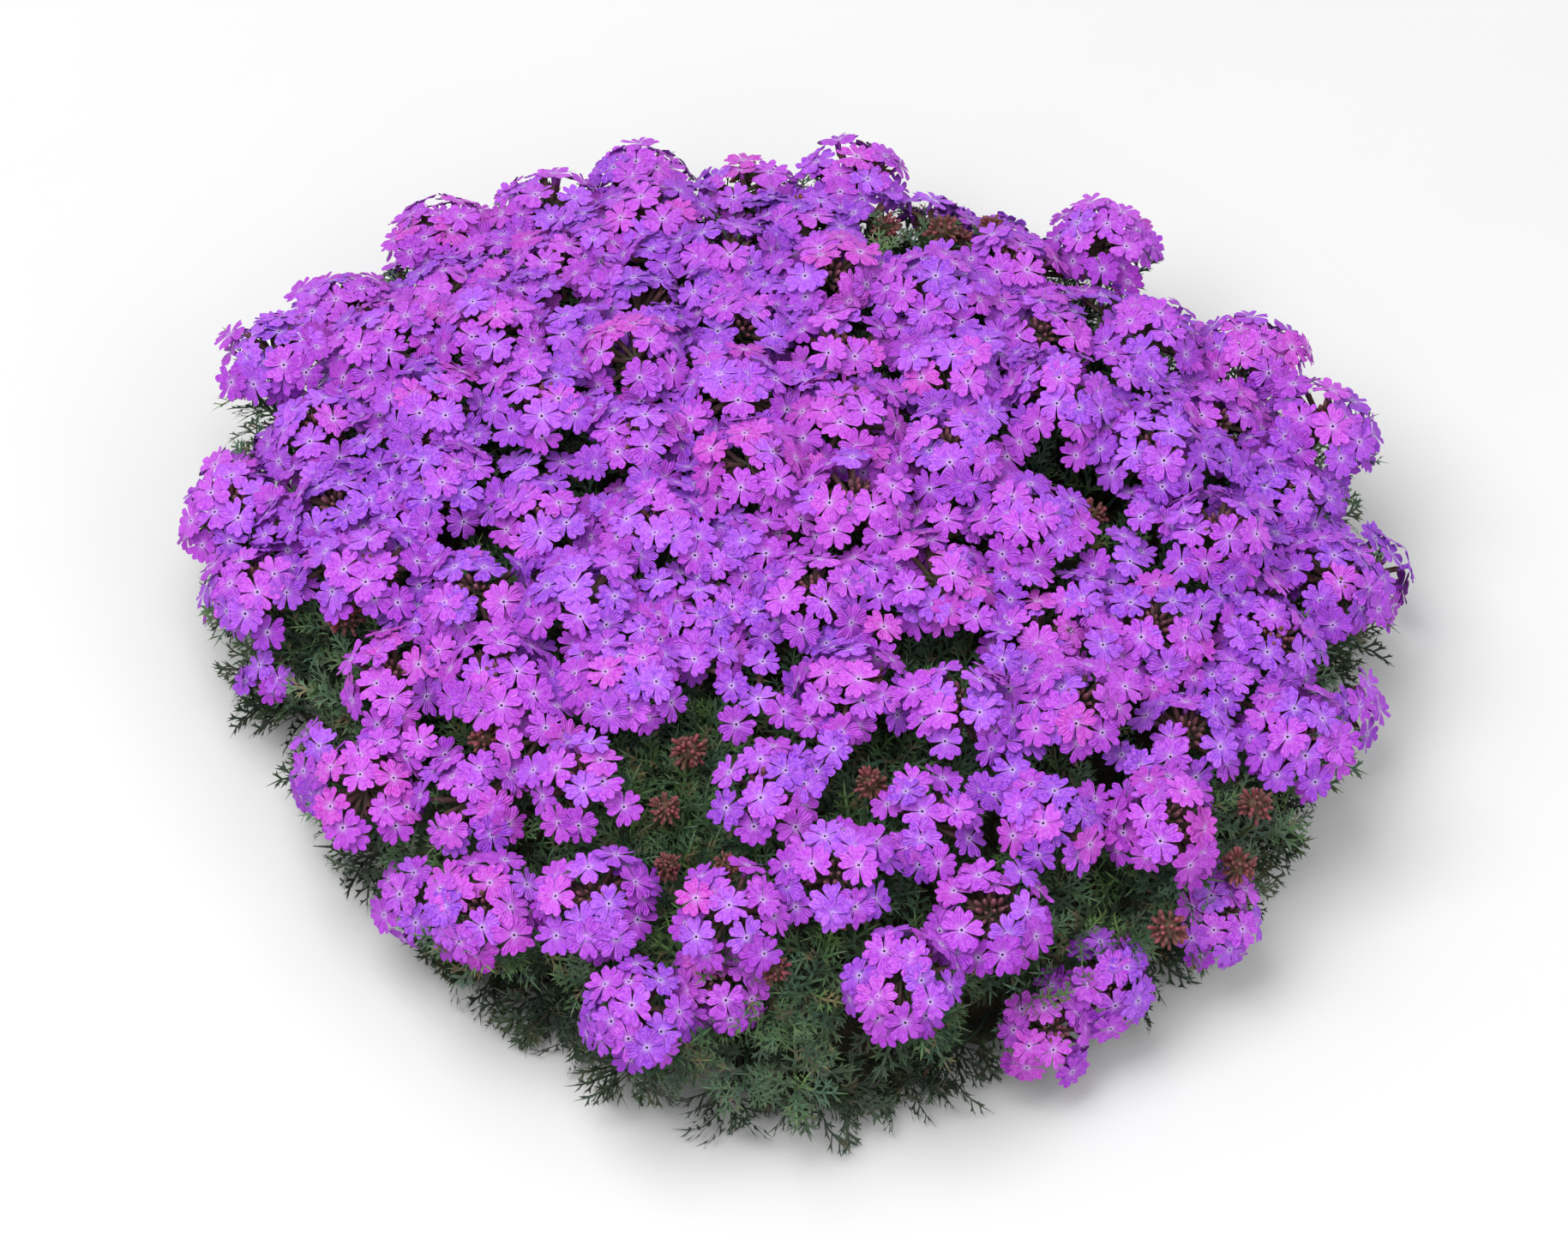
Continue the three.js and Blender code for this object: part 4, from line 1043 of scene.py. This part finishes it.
class VERBENA_OT_stems(bpy.types.Operator):
    """Add the trailing stems and the thatch of dead twigs that they carry"""

    bl_idname = "verbena.stems"
    bl_label = "Trailing stems"

    def execute(self, context):
        wood = context.scene.verbena_wood
        rng = np.random.default_rng(SEED + STREAMS.stems)
        stems = Growth()
        for angle in 2 * np.pi * (np.arange(STEMS) + 0.5) / STEMS + FIRST_SECTOR:
            self.add_runner(stems, rng, angle, CROWN_RADIUS - 4, reach=0.8, radius=2.2)
            for side in (-1, 1):
                for along in RUNNER_FORKS:
                    aside = angle + side * rng.uniform(0.1, 0.34)
                    start = along * MAT_RADIUS * 0.7
                    self.add_runner(stems, rng, aside, start, reach=0.86, radius=1.4, from_angle=angle)
        stems.piece("trailing_stems", bpy.data.materials["verbena_bark"], "bark")
        self.add_thatch(wood, rng)
        return {"FINISHED"}

    def add_runner(self, stems, rng, angle, start, reach, radius, from_angle=None):
        """A stem along the ground, from a distance out on one bearing to the core's rim on another."""
        steps = np.linspace(0, 1, 16)
        first = angle if from_angle is None else from_angle
        bearing = first + (angle - first) * steps**0.7 + 0.03 * np.sin(9 * steps + 6 * rng.random())
        r = start + (reach * mat_radius(angle) - start) * steps
        rise = np.interp(steps, *RUNNER_RISE) + 0.8 * np.sin(17 * steps + angle)
        radii = radius * np.interp(steps, [0, 1], [1, 0.55])
        z = np.maximum(rise, radii + 0.2)
        path = np.stack([r * np.cos(bearing), r * np.sin(bearing), z], -1)
        stems.add_tubes(path[None], radii * (1 + 0.12 * np.sin(40 * steps)), 5)

    def add_thatch(self, wood, rng):
        """A tangled mound over the stems, and loose twigs on it."""
        rows, sides = 24, 120
        turns = 2 * np.pi * np.arange(sides) / sides
        shares = np.linspace(0.03, THATCH_REACH, rows)[:, None]
        ragged = 1 + 0.05 * np.sin(11 * turns + 2 * np.sin(5 * turns)) * (shares > 0.7)
        r = shares * ragged * mat_radius(turns)
        x, y = r * np.cos(turns), r * np.sin(turns)
        top = core_top(x, y) - 2 + 3.2 * tangled(x, y)
        low = 5.5 + 1.2 * tangled(x, y, 2.0) + 10 * np.maximum(0, 1 - r / 40)
        upper = np.stack([x, y, np.maximum(top, low + 1.5)], -1)
        lower = np.stack([x, y, low], -1)
        points = np.concatenate([lower, upper[::-1]])
        mound = Growth()
        mound.add(points.reshape(1, -1, 3), tube_faces(2 * rows, sides))
        mound.add_tubes(self.twigs(rng), np.array([0.35, 0.6, 0.6, 0.5, 0.2]), 4)
        # The thatch's dark colour is partly dead matter and partly painted shade under the foliage.
        material = bark_material("verbena_thatch", wood.dead_leaves_and_shade, wood.thatch_light, size=0.006)
        mound.piece("thatch", material, "bark")

    def twigs(self, rng):
        """Paths of bowed twigs that lie on the core, most of them pointing outwards."""
        count = THATCH_TWIGS
        place = MAT_RADIUS * CORE_REACH * 0.98 * np.sqrt(rng.random(count))
        angle = 2 * np.pi * rng.random(count)
        x, y = place * np.cos(angle), place * np.sin(angle)
        heading = angle + rng.normal(0, 0.9, count)
        along = np.stack([np.cos(heading), np.sin(heading), rng.normal(0, 0.25, count)], -1)
        middle = np.stack([x, y, core_top(x, y) + rng.uniform(-2, 2, count)], -1)
        half = rng.uniform(4, 11, count)[:, None] * along
        bowed = middle + rng.normal(0, 2, (count, 3))
        ends = np.stack([middle - half, bowed - 0.4 * half, bowed + 0.4 * half, middle + half], 1)
        ends[..., 2] = np.maximum(ends[..., 2], 1)
        return curved(ends, 5)


SHOOT_TRIES = 2000  # places on the spiral that spreads the shoots
OUTERMOST_SHOOT = 0.93  # as a share of the mat's reach
SKIRT_SHOOTS = 104  # low shoots round the rim
PATH_STEPS = 24  # steps along a shoot that leaves may grow from
LEAF_OPENING = ([0.3, 0.8, 1.0], [1.25, 1.0, 0.55])  # angles between leaves and shoot, along the shoot
LEAF_SIZES = ([0.3, 0.7, 1.0], [0.95, 1.1, 0.6])
LEAF_SHAPES = 6
# The painted shade on the leaves deepens over this distance below the cushion's top.
LEAF_DEPTH = 26  # how far below the cushion's top the leaves are darkest

# A leaf of length 1: half widths of its midrib, and where side segments leave it, with their lengths.
RIB_HALF_WIDTHS = [0.022, 0.03, 0.03, 0.024, 0.004]
SEGMENTS = [(0.2, 0.27), (0.38, 0.37), (0.56, 0.33), (0.73, 0.22)]
SEGMENT_HALF_WIDTH = 0.027
FORKED_FROM = 0.2  # segments longer than this are forked


def on_core(x, y, sunk):
    """Where shoots and stalks have their foot, sunk into the core."""
    return np.stack([x, y, core_top(x, y) - sunk], -1)


class VERBENA_OT_foliage(bpy.types.Operator):
    """Add the leafy shoots, one piece for each trailing stem"""

    bl_idname = "verbena.foliage"
    bl_label = "Leafy shoots"

    def execute(self, context):
        settings = context.scene.verbena_foliage
        rng = np.random.default_rng(SEED + STREAMS.foliage)
        material = leaf_material(settings)
        heads, _ = plan_heads(context.scene.verbena_flowers)
        kinds = [self.cushion_shoots(settings, rng), self.skirt_shoots(rng), self.stalk_shoots(heads, rng)]
        shoots = np.concatenate(kinds)
        leaves = [leaf_shape(rng) for _ in range(LEAF_SHAPES)]
        middle = shoots.mean(1)
        bearing = np.arctan2(middle[:, 1], middle[:, 0]) - FIRST_SECTOR
        sector = np.floor(bearing / (2 * np.pi / STEMS)).astype(int) % STEMS
        for n, node in enumerate(numbered("leafy_stem", STEMS)):
            growth = Growth("tone", "reach", "depth")
            self.add_shoots(growth, shoots[sector == n], leaves, settings, rng)
            growth.piece(f"foliage_{n + 1:02d}", material, "foliage", [node])
        return {"FINISHED"}

    def cushion_shoots(self, settings, rng):
        """Control points of the upright shoots, from the core to the cushion's top.

        They stand twice as close in the clearings and along the back, where more of them shows.
        """
        pitch = settings.spacing / MM
        x, y = spiral(SHOOT_TRIES, pitch, turned=1)
        more_x, more_y = spiral(SHOOT_TRIES, pitch, turned=2)
        keep = share(x, y) < 0.92
        back_rim = (more_y > 50) & (np.abs(share(more_x, more_y) - 0.8) < 0.1)
        dense = (clearing_share(more_x, more_y, 5) < 1) | back_rim
        x, y = np.concatenate([x[keep], more_x[dense]]), np.concatenate([y[keep], more_y[dense]])
        inside = share(x, y) < OUTERMOST_SHOOT
        count = inside.sum()
        x, y = x[inside] + rng.uniform(-3, 3, count), y[inside] + rng.uniform(-3, 3, count)
        outness = share(x, y)
        taller = BACK_CLEARING_LIFT * (clearing_share(x, y, 5) < 1) * climb(y, 105, 25)
        tip = np.stack([x, y, cushion_top(x, y) - 6 + taller + 7 * rng.random(count)], -1)
        inward = 1 - (6 + 34 * outness**2) / np.maximum(np.hypot(x, y), 40)
        inward = np.minimum(inward, FOOT_REACH / outness)
        foot = on_core(x * inward, y * inward, 4)
        out = unit(np.stack([x, y, 0 * x], -1) + 1e-6)
        lean = out * (0.15 + 0.85 * outness**3)[:, None] + rng.normal(0, 0.22, (count, 3))
        lean[:, 2] = 1
        height = (tip[:, 2] - foot[:, 2])[:, None]
        return np.stack([foot, foot + 0.45 * height * UP, tip - 0.4 * height * unit(lean), tip], 1)

    def skirt_shoots(self, rng):
        """Control points of the low shoots that lie round the rim."""
        count = SKIRT_SHOOTS
        angle = 2 * np.pi * (np.arange(count) + rng.uniform(-0.4, 0.4, count)) / count
        bent = angle + rng.normal(0, 0.09, count)
        out, aside = around(angle), around(bent)
        edge = mat_radius(bent)[:, None]
        start, middle = 0.72 * edge * out, 0.84 * edge * 0.5 * (out + aside)
        tip = (rng.uniform(0.82, 0.92, (count, 1)) + 0.03 * aside[:, 1:2]) * edge * aside
        low, high = (rng.uniform(*levels, (count, 1)) * UP for levels in ((5, 10), (4, 15)))
        return np.stack([start + low, middle + low + 5 * UP, 0.5 * (middle + tip) + high, tip + high], 1)

    def stalk_shoots(self, heads, rng):
        """Control points of the shoots that reach up round the stalks of the heads at the rim."""
        centres = np.repeat([head.centre for head in heads if share(head.x, head.y) > 0.72], 3, axis=0)
        beside = rng.uniform(-9, 9, (len(centres), 2))
        tip = np.column_stack([centres[:, :2] + beside, centres[:, 2] - rng.uniform(9, 14, len(centres))])
        inward = np.minimum(0.9, 0.76 / share(*tip.T[:2]))
        foot = on_core(*(tip.T[:2] * inward), 2)
        rise = (tip[:, 2] - foot[:, 2])[:, None] * UP
        lean = rng.normal(0, 2, tip.shape)
        return np.stack([foot, foot + 0.4 * rise, tip - 0.4 * rise + lean, tip], 1)

    def add_shoots(self, growth, shoots, leaves, settings, rng):
        """The stems of the shoots and crosswise pairs of leaves along them, fewer where few show."""
        # The shoots' stems get a fixed share of the painted shade, as they stand inside the cushion.
        growth.add_tubes(curved(shoots, 8), np.linspace(0.9, 0.45, 8), 4, tone=0.4, depth=0.6, reach=0.0)
        nodes = settings.nodes
        paths = curved(shoots, PATH_STEPS + 1)
        along = tangents(paths)
        start = 2 * np.pi * rng.random(len(shoots))
        tip_x, tip_y, _ = shoots[:, -1].T
        in_sight = (share(tip_x, tip_y) > 0.78) | (clearing_share(tip_x, tip_y, 14) < 1)
        for node in range(nodes):
            u = 0.3 + 0.7 * (node + 0.6 * rng.random(len(shoots))) / nodes
            rows = np.flatnonzero(in_sight | (node >= nodes // 2))
            u = u[rows]
            step = np.minimum((PATH_STEPS * u).round().astype(int), PATH_STEPS)
            place, stem = paths[rows, step], along[rows, step]
            bases = bases_along(stem, start[rows] + node * np.pi / 2)
            for side in (1, -1):
                turn = rng.normal(0, 0.35, len(rows))
                across = side * (np.cos(turn)[:, None] * bases[:, 0] + np.sin(turn)[:, None] * bases[:, 1])
                opening = np.interp(u, *LEAF_OPENING) + rng.normal(0, 0.14, len(u))
                ahead = np.cos(opening)[:, None] * stem + np.sin(opening)[:, None] * across
                face = unit(stem - (stem * ahead).sum(1)[:, None] * ahead)
                basis = np.stack([ahead, np.cross(face, ahead), face], 1)
                size = settings.leaf / MM * np.interp(u, *LEAF_SIZES)
                size = size * rng.uniform(0.8, 1.15, len(u))
                tone = np.clip(rng.normal(0.45, 0.32, len(u)) + 0.3 * (u - 0.6), 0, 1)
                self.add_leaves(growth, leaves, place, basis, size, tone, rng)

    def add_leaves(self, growth, leaves, place, basis, size, tone, rng):
        """Leaves of several shapes, kept off the ground and marked with how deep they are."""
        kind = rng.integers(0, len(leaves), len(place))
        for k, ((shape, faces), reach) in enumerate(leaves):
            mine = kind == k
            points = placed(shape, place[mine], basis[mine], size[mine])
            points[..., 2] = np.maximum(points[..., 2], 0.4 + 2.5 * reach[None] * tone[mine, None])
            # How far each point lies below the cushion's top, which sets its painted shade.
            below = cushion_top(points[..., 0], points[..., 1]) + 2 - points[..., 2]
            depth = climb(below, 0, LEAF_DEPTH)
            growth.add(points, faces, tone=tone[mine, None], reach=reach[None], depth=depth)


def leaf_shape(rng):
    """A cut leaf of length 1 along x, facing z: a thin midrib with forked side segments."""
    points, faces, reach = [], [], []

    def put(new, triangles, values):
        faces.extend([tuple(len(points) + k for k in face) for face in triangles])
        points.extend(new)
        reach.extend(values)

    def segment(foot, heading, length, width, lift):
        """A pointed strip, which is forked if it is long enough."""
        ahead = np.array([math.cos(heading), math.sin(heading), lift])
        aside = np.array([-math.sin(heading), math.cos(heading), 0.25 * rng.uniform(-1, 1)])
        middle = foot + 0.55 * length * ahead
        tip = foot + length * ahead - np.array([0, 0, 0.12 * length])
        strip = [foot + width * aside * 0.7, foot - width * aside * 0.7]
        strip += [middle + width * aside, middle - width * aside, tip]
        put(strip, [(0, 1, 3), (0, 3, 2), (2, 3, 4)], [0.3, 0.3, 0.6, 0.6, 1.0])
        if length > FORKED_FROM:
            for side in (-1, 1):
                turn = heading + side * rng.uniform(0.55, 0.8)
                fork = np.array([math.cos(turn), math.sin(turn), lift])
                end = middle - 0.1 * length * ahead + rng.uniform(0.35, 0.5) * length * fork
                near, far = middle - 0.25 * length * ahead, middle + 0.05 * length * ahead
                put([near, far, end] if side > 0 else [far, near, end], [(0, 1, 2)], [0.4, 0.4, 0.95])

    def arch(x):
        return 0.3 * x * (1 - x) - 0.08 * x * x

    places = np.linspace(0, 1, len(RIB_HALF_WIDTHS))
    sides = [(x, side * w) for x, w in zip(places, RIB_HALF_WIDTHS) for side in (1, -1)]
    rib = [np.array([x, 0.02 * math.sin(9 * x) + aside, arch(x)]) for x, aside in sides]
    triangles = []
    for k in range(0, len(rib) - 2, 2):
        triangles += [(k, k + 1, k + 3), (k, k + 3, k + 2)]
    put(rib, triangles, np.repeat(places, 2))
    for x, length in SEGMENTS:
        for side in (-1, 1):
            place = x + rng.uniform(-0.03, 0.03)
            foot = np.array([place, 0, arch(place)])
            heading = side * rng.uniform(0.6, 0.95)
            length_here = length * rng.uniform(0.85, 1.15)
            segment(foot, heading, length_here, SEGMENT_HALF_WIDTH, rng.uniform(0.0, 0.45))
    return (np.array(points), np.array(faces)), np.array(reach)


STALK_RINGS = 8
STALK_INSIDE_HEAD = 8  # how far a stalk goes on above its head's seat
STALK_INSIDE_BUD_HEAD = 3


class VERBENA_OT_stalks(bpy.types.Operator):
    """Add the thin stalks that lift the heads over the leaves"""

    bl_idname = "verbena.stalks"
    bl_label = "Flower stalks"

    def execute(self, context):
        settings = context.scene.verbena_foliage
        heads, fillers = plan_heads(context.scene.verbena_flowers)
        main, lesser = plan_bud_heads()
        stalks = Growth("reach")
        rng = np.random.default_rng(SEED + STREAMS.stalks)
        self.add_stalks(stalks, heads + fillers, SEAT_DROP, STALK_INSIDE_HEAD, rng)
        self.add_stalks(stalks, main + lesser, BUD_SEAT_DROP, STALK_INSIDE_BUD_HEAD, rng)
        stalks.piece("flower_stalks", stalk_material(settings), "foliage")
        return {"FINISHED"}

    def add_stalks(self, stalks, heads, drop, inside, rng):
        """A gently bowed stalk from the core to each head, and on up into its middle."""
        centres = np.array([head.centre for head in heads])
        axes = np.array([head.axis for head in heads])
        scales = np.array([head.scale for head in heads])[:, None]
        seat = centres - axes * drop * scales
        foot = seat + axes * (core_top(*seat.T[:2]) - seat[:, 2])[:, None]
        foot = on_core(*(foot.T[:2] * np.minimum(1, FOOT_REACH / share(*foot.T[:2]))), 5)
        reach = np.linalg.norm(seat - foot, axis=1)[:, None]
        bow = rng.normal(0, 1, (len(heads), 3)) * [2, 2, 0]
        ends = [foot, foot + 0.4 * reach * UP + bow, seat - 0.35 * reach * axes, seat]
        path = curved(np.stack(ends, 1), STALK_RINGS)
        top = seat + axes * inside * scales
        path = np.concatenate([path, top[:, None]], 1)
        radii = np.append(np.linspace(1.15, 0.75, STALK_RINGS), 0.9)
        stalks.add_tubes(path, radii, 5, reach=np.linspace(0, 1, STALK_RINGS + 1)[None])


FLORET_SHAPES = 12  # different ones, which the florets take by lot


class VERBENA_OT_florets(bpy.types.Operator):
    """Add the open florets, a quarter of the plant to a piece"""

    bl_idname = "verbena.florets"
    bl_label = "Florets"

    def execute(self, context):
        settings = context.scene.verbena_flowers
        heads, fillers = plan_heads(settings)
        rng = np.random.default_rng(SEED + STREAMS.florets)
        shapes = [floret_shape(rng, settings) for _ in range(FLORET_SHAPES)]
        material = petal_material(settings)
        for quarter, name in enumerate(("right", "back", "left", "front")):
            mine = [head for head in heads + fillers if head.quarter == quarter]
            growth = Growth("tone", "reach", "across", "depth")
            self.add_florets(growth, mine, shapes, rng)
            replaced = sorted({head.node for head in mine if head.node})
            growth.piece(f"florets_{name}", material, "petals", replaced)
        return {"FINISHED"}

    def add_florets(self, growth, heads, shapes, rng):
        """The florets of some heads, each of a shape drawn by lot and turned at random."""
        florets = joined([head.florets for head in heads])
        places, sizes = florets["places"], florets["sizes"]
        bases = bases_along(florets["directions"], 2 * np.pi * rng.random(len(places)))
        kind = rng.integers(0, len(shapes), len(places))
        for k, (shape, reach, across, jitter) in enumerate(shapes):
            mine = kind == k
            marks = {
                "tone": np.clip(florets["tones"][mine, None] + jitter[None], 0, 1),
                "reach": reach[None],
                "across": across[None],
                # The depth mark carries the painted shade of florets low on their heads.
                "depth": florets["depths"][mine, None],
            }
            growth.add_placed(shape, places[mine], bases[mine], sizes[mine], **marks)


TUBE_SHOWING = 0.62  # share of a floret's tube that its calyx leaves bare
KNOT_SPREAD = 62  # how far a knot of buds reaches round its dome, in degrees
CALYX_TONE = 0.45  # how far up the colours of a bud the calyces go


class VERBENA_OT_buds(bpy.types.Operator):
    """Add the calyces behind the florets and the knots of dark buds in the middle of the heads"""

    bl_idname = "verbena.buds"
    bl_label = "Calyces and buds"

    def execute(self, context):
        settings = context.scene.verbena_flowers
        heads, fillers = plan_heads(settings)
        rng = np.random.default_rng(SEED + STREAMS.buds)
        growth = Growth("tone", "reach")
        for head in heads + fillers:
            florets = head.florets
            bare = TUBE_SHOWING * settings.tube / MM * florets["directions"] * florets["sizes"][:, None]
            self.add_calyces(growth, head, florets["places"] - bare, rng)
            if head.node:
                self.add_calyces(growth, head, self.spent_mouths(head, settings.spent_calyces, rng), rng)
            if head.kind in ("fresh", "full", "edge"):
                self.add_knot(growth, head, settings.knot_buds, rng)
        colours = settings.calyx_foot, settings.calyx_dark, settings.calyx_tip
        material = bud_material("verbena_calyx", *colours, size=0.002, variety=0.4)
        growth.piece("calyces_and_buds", material, "buds")
        return {"FINISHED"}

    def spent_mouths(self, head, count, rng):
        """Mouths of the calyces on a head's flank and underside that have dropped their florets."""
        polar, turns = np.radians(rng.uniform(52, 112, count)), 2 * np.pi * rng.random(count)
        out = rng.uniform(9, 13, (count, 1)) * over_ball(polar, turns) - 5 * UP
        mouths = head.centre + out @ head.basis * head.scale
        return mouths[ragged_clearing(mouths[:, 0], mouths[:, 1], 4) > 1]

    def add_calyces(self, growth, head, mouths, rng):
        """A calyx from the middle of the head to each mouth."""
        down = rng.uniform(3, 9, len(mouths))[:, None]
        feet = head.centre - head.axis * down * head.scale
        lengths = np.linalg.norm(mouths - feet, axis=1)
        bases = bases_along(unit(mouths - feet), 2 * np.pi * rng.random(len(mouths)))
        widths = np.full(len(mouths), CALYX_RADIUS)
        sizes = np.stack([widths, widths, lengths], -1)
        tone = rng.random((len(mouths), 1))
        growth.add_placed(CALYX, feet, bases, sizes, tone=tone, reach=CALYX_TONE * CALYX[0][None, :, 2])

    def add_knot(self, growth, head, count, rng):
        """Pointed buds on a small dome."""
        k = np.arange(count)
        polar = np.radians(KNOT_SPREAD) * np.sqrt((k + 0.4) / count)
        turns = k * GOLDEN_ANGLE + 6 * rng.random()
        out = over_ball(polar, turns)
        places = (out * [3.8, 3.8, 2.8] - 3.4 * UP) @ head.basis * head.scale + head.centre
        ways = unit(out + 0.4 * UP) @ head.basis
        sizes = rng.uniform(0.8, 1.2, count) * head.scale
        tone = rng.random((count, 1))
        reach = (BUD[0][:, 2] / BUD[0][:, 2].max())[None]
        growth.add_placed(BUD, places, bases_along(ways, turns), sizes, tone=tone, reach=reach)


class VERBENA_OT_bud_heads(bpy.types.Operator):
    """Add the dusty red young and spent heads"""

    bl_idname = "verbena.bud_heads"
    bl_label = "Bud heads"

    def execute(self, context):
        settings = context.scene.verbena_bud_heads
        main, lesser = plan_bud_heads()
        nodes = numbered("bud_head", BUD_HEADS)
        rng = np.random.default_rng(SEED + STREAMS.bud_heads)
        growth = Growth("tone", "reach")
        for head in main + lesser:
            self.add_head(growth, head, settings, rng)
        colours = settings.foot, settings.middle, settings.tip
        material = bud_material("verbena_bud_head", *colours, size=0.0015, variety=0.75)
        growth.piece("bud_heads", material, "buds", nodes)
        return {"FINISHED"}

    def add_head(self, growth, head, settings, rng):
        """Calyces that radiate from a small core over most of a ball."""
        radius, count = settings.radius / MM * head.scale, settings.buds
        k = np.arange(count)
        polar = np.arccos(1 - 1.5 * (k + 0.5) / count)
        turns = k * GOLDEN_ANGLE + 6 * rng.random()
        ways = over_ball(polar, turns)
        ways = unit(ways + rng.normal(0, 0.2, ways.shape))
        basis = bases_along(head.axis[None], np.zeros(1))[0]
        places = 0.4 * radius * ways @ basis + head.centre
        lengths = radius * rng.uniform(0.34, 0.72, count)
        widths = 0.85 * head.scale * rng.uniform(0.8, 1.15, count)
        sizes = np.stack([widths, widths, lengths], -1)
        bases = bases_along(ways @ basis, turns)
        marks = {"tone": rng.random((count, 1)), "reach": SPENT_BUD[0][None, :, 2]}
        growth.add_placed(SPENT_BUD, places, bases, sizes, **marks)
        core = revolved([(0, -0.5), (0.3, -0.42), (0.5, 0), (0.34, 0.38), (0, 0.5)], 7)
        here = head.centre[None]
        growth.add_placed(core, here, basis[None], np.array([radius]), tone=0.9, reach=0.1)


FLOOR_SIZE = 12
CAMERA = SimpleNamespace(aim=(0.0045, -0.019, 0.0615), away=3.0, elevation=math.radians(50), lens=207)


class VERBENA_OT_stage(bpy.types.Operator):
    """Add the floor, the soft lights and the camera"""

    bl_idname = "verbena.stage"
    bl_label = "Stage"

    def execute(self, context):
        settings = context.scene.verbena_stage
        scene = context.scene
        scene.view_settings.view_transform = "Standard"
        bpy.ops.mesh.primitive_plane_add(size=FLOOR_SIZE, location=(0, 0, 0))
        floor = context.object
        floor.name = "floor"
        material, tree = new_material("stage_floor")
        patchy = mottled(tree, settings.floor, darker(settings.floor, 0.97), size=0.3, amount=1.0)
        finish_material(tree, patchy["Colour"], patchy["Mask"], (0.85, 0.95), patchy["Height"], 0.05)
        floor.data.materials.append(material)
        world = bpy.data.worlds.new("studio")
        scene.world = world
        world.use_nodes = True
        background = world.node_tree.nodes["Background"]
        background.inputs["Color"].default_value = (0.97, 0.98, 1, 1)
        background.inputs["Strength"].default_value = settings.sky
        self.add_light("key", (-0.45, -0.25, 1.5), 1.1, settings.key)
        self.add_light("fill", (0.9, -0.9, 0.9), 1.2, 0.25 * settings.key)
        self.add_camera(scene)
        return {"FINISHED"}

    def add_light(self, name, place, size, power):
        light = bpy.data.lights.new(name, "AREA")
        light.size = size
        light.energy = power
        lamp = bpy.data.objects.new(name, light)
        bpy.context.scene.collection.objects.link(lamp)
        lamp.location = place
        lamp.rotation_euler = facing(place, (0, 0, 0.05))

    def add_camera(self, scene):
        """A long lens in front of the plant and above it, looking down at it."""
        aim = np.array(CAMERA.aim)
        place = aim + CAMERA.away * np.array([0, -math.cos(CAMERA.elevation), math.sin(CAMERA.elevation)])
        view = bpy.data.cameras.new("camera")
        view.sensor_width = 36
        view.lens = CAMERA.lens
        camera = bpy.data.objects.new("camera", view)
        scene.collection.objects.link(camera)
        camera.location = place
        camera.rotation_euler = facing(place, aim)
        scene.camera = camera


def facing(place, aim):
    """The turn of a lamp or camera at a place that looks at a point."""
    return (Vector(aim) - Vector(place)).to_track_quat("-Z", "Y").to_euler()


# ---- Add-on ----------------------------------------------------------------------------------------

OPERATORS = (
    VERBENA_OT_crown,
    VERBENA_OT_stems,
    VERBENA_OT_foliage,
    VERBENA_OT_stalks,
    VERBENA_OT_florets,
    VERBENA_OT_buds,
    VERBENA_OT_bud_heads,
    VERBENA_OT_stage,
)
SETTINGS = {
    "verbena_flowers": VerbenaFlowers,
    "verbena_bud_heads": VerbenaBudHeads,
    "verbena_foliage": VerbenaFoliage,
    "verbena_wood": VerbenaWood,
    "verbena_stage": VerbenaStage,
}


class VERBENA_PT_panel(bpy.types.Panel):
    """Lists the pieces of the plant in the order in which they are built"""

    bl_idname = "VERBENA_PT_panel"
    bl_label = "Verbena mat"
    bl_space_type = "VIEW_3D"
    bl_region_type = "UI"
    bl_category = "Verbena"

    def draw(self, context):
        for operator in OPERATORS:
            self.layout.operator(operator.bl_idname)
        for name, group in SETTINGS.items():
            box = self.layout.box()
            for setting in group.__annotations__:
                box.prop(getattr(context.scene, name), setting)


def register():
    for kind in (*SETTINGS.values(), *OPERATORS, VERBENA_PT_panel):
        bpy.utils.register_class(kind)
    for name, group in SETTINGS.items():
        setattr(bpy.types.Scene, name, PointerProperty(type=group))


def unregister():
    for name in SETTINGS:
        delattr(bpy.types.Scene, name)
    for kind in (VERBENA_PT_panel, *reversed(OPERATORS), *reversed(SETTINGS.values())):
        bpy.utils.unregister_class(kind)


def main():
    register()
    for operator in OPERATORS:
        group, name = operator.bl_idname.split(".")
        getattr(getattr(bpy.ops, group), name)()
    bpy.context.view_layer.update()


if __name__ == "__main__":
    main()
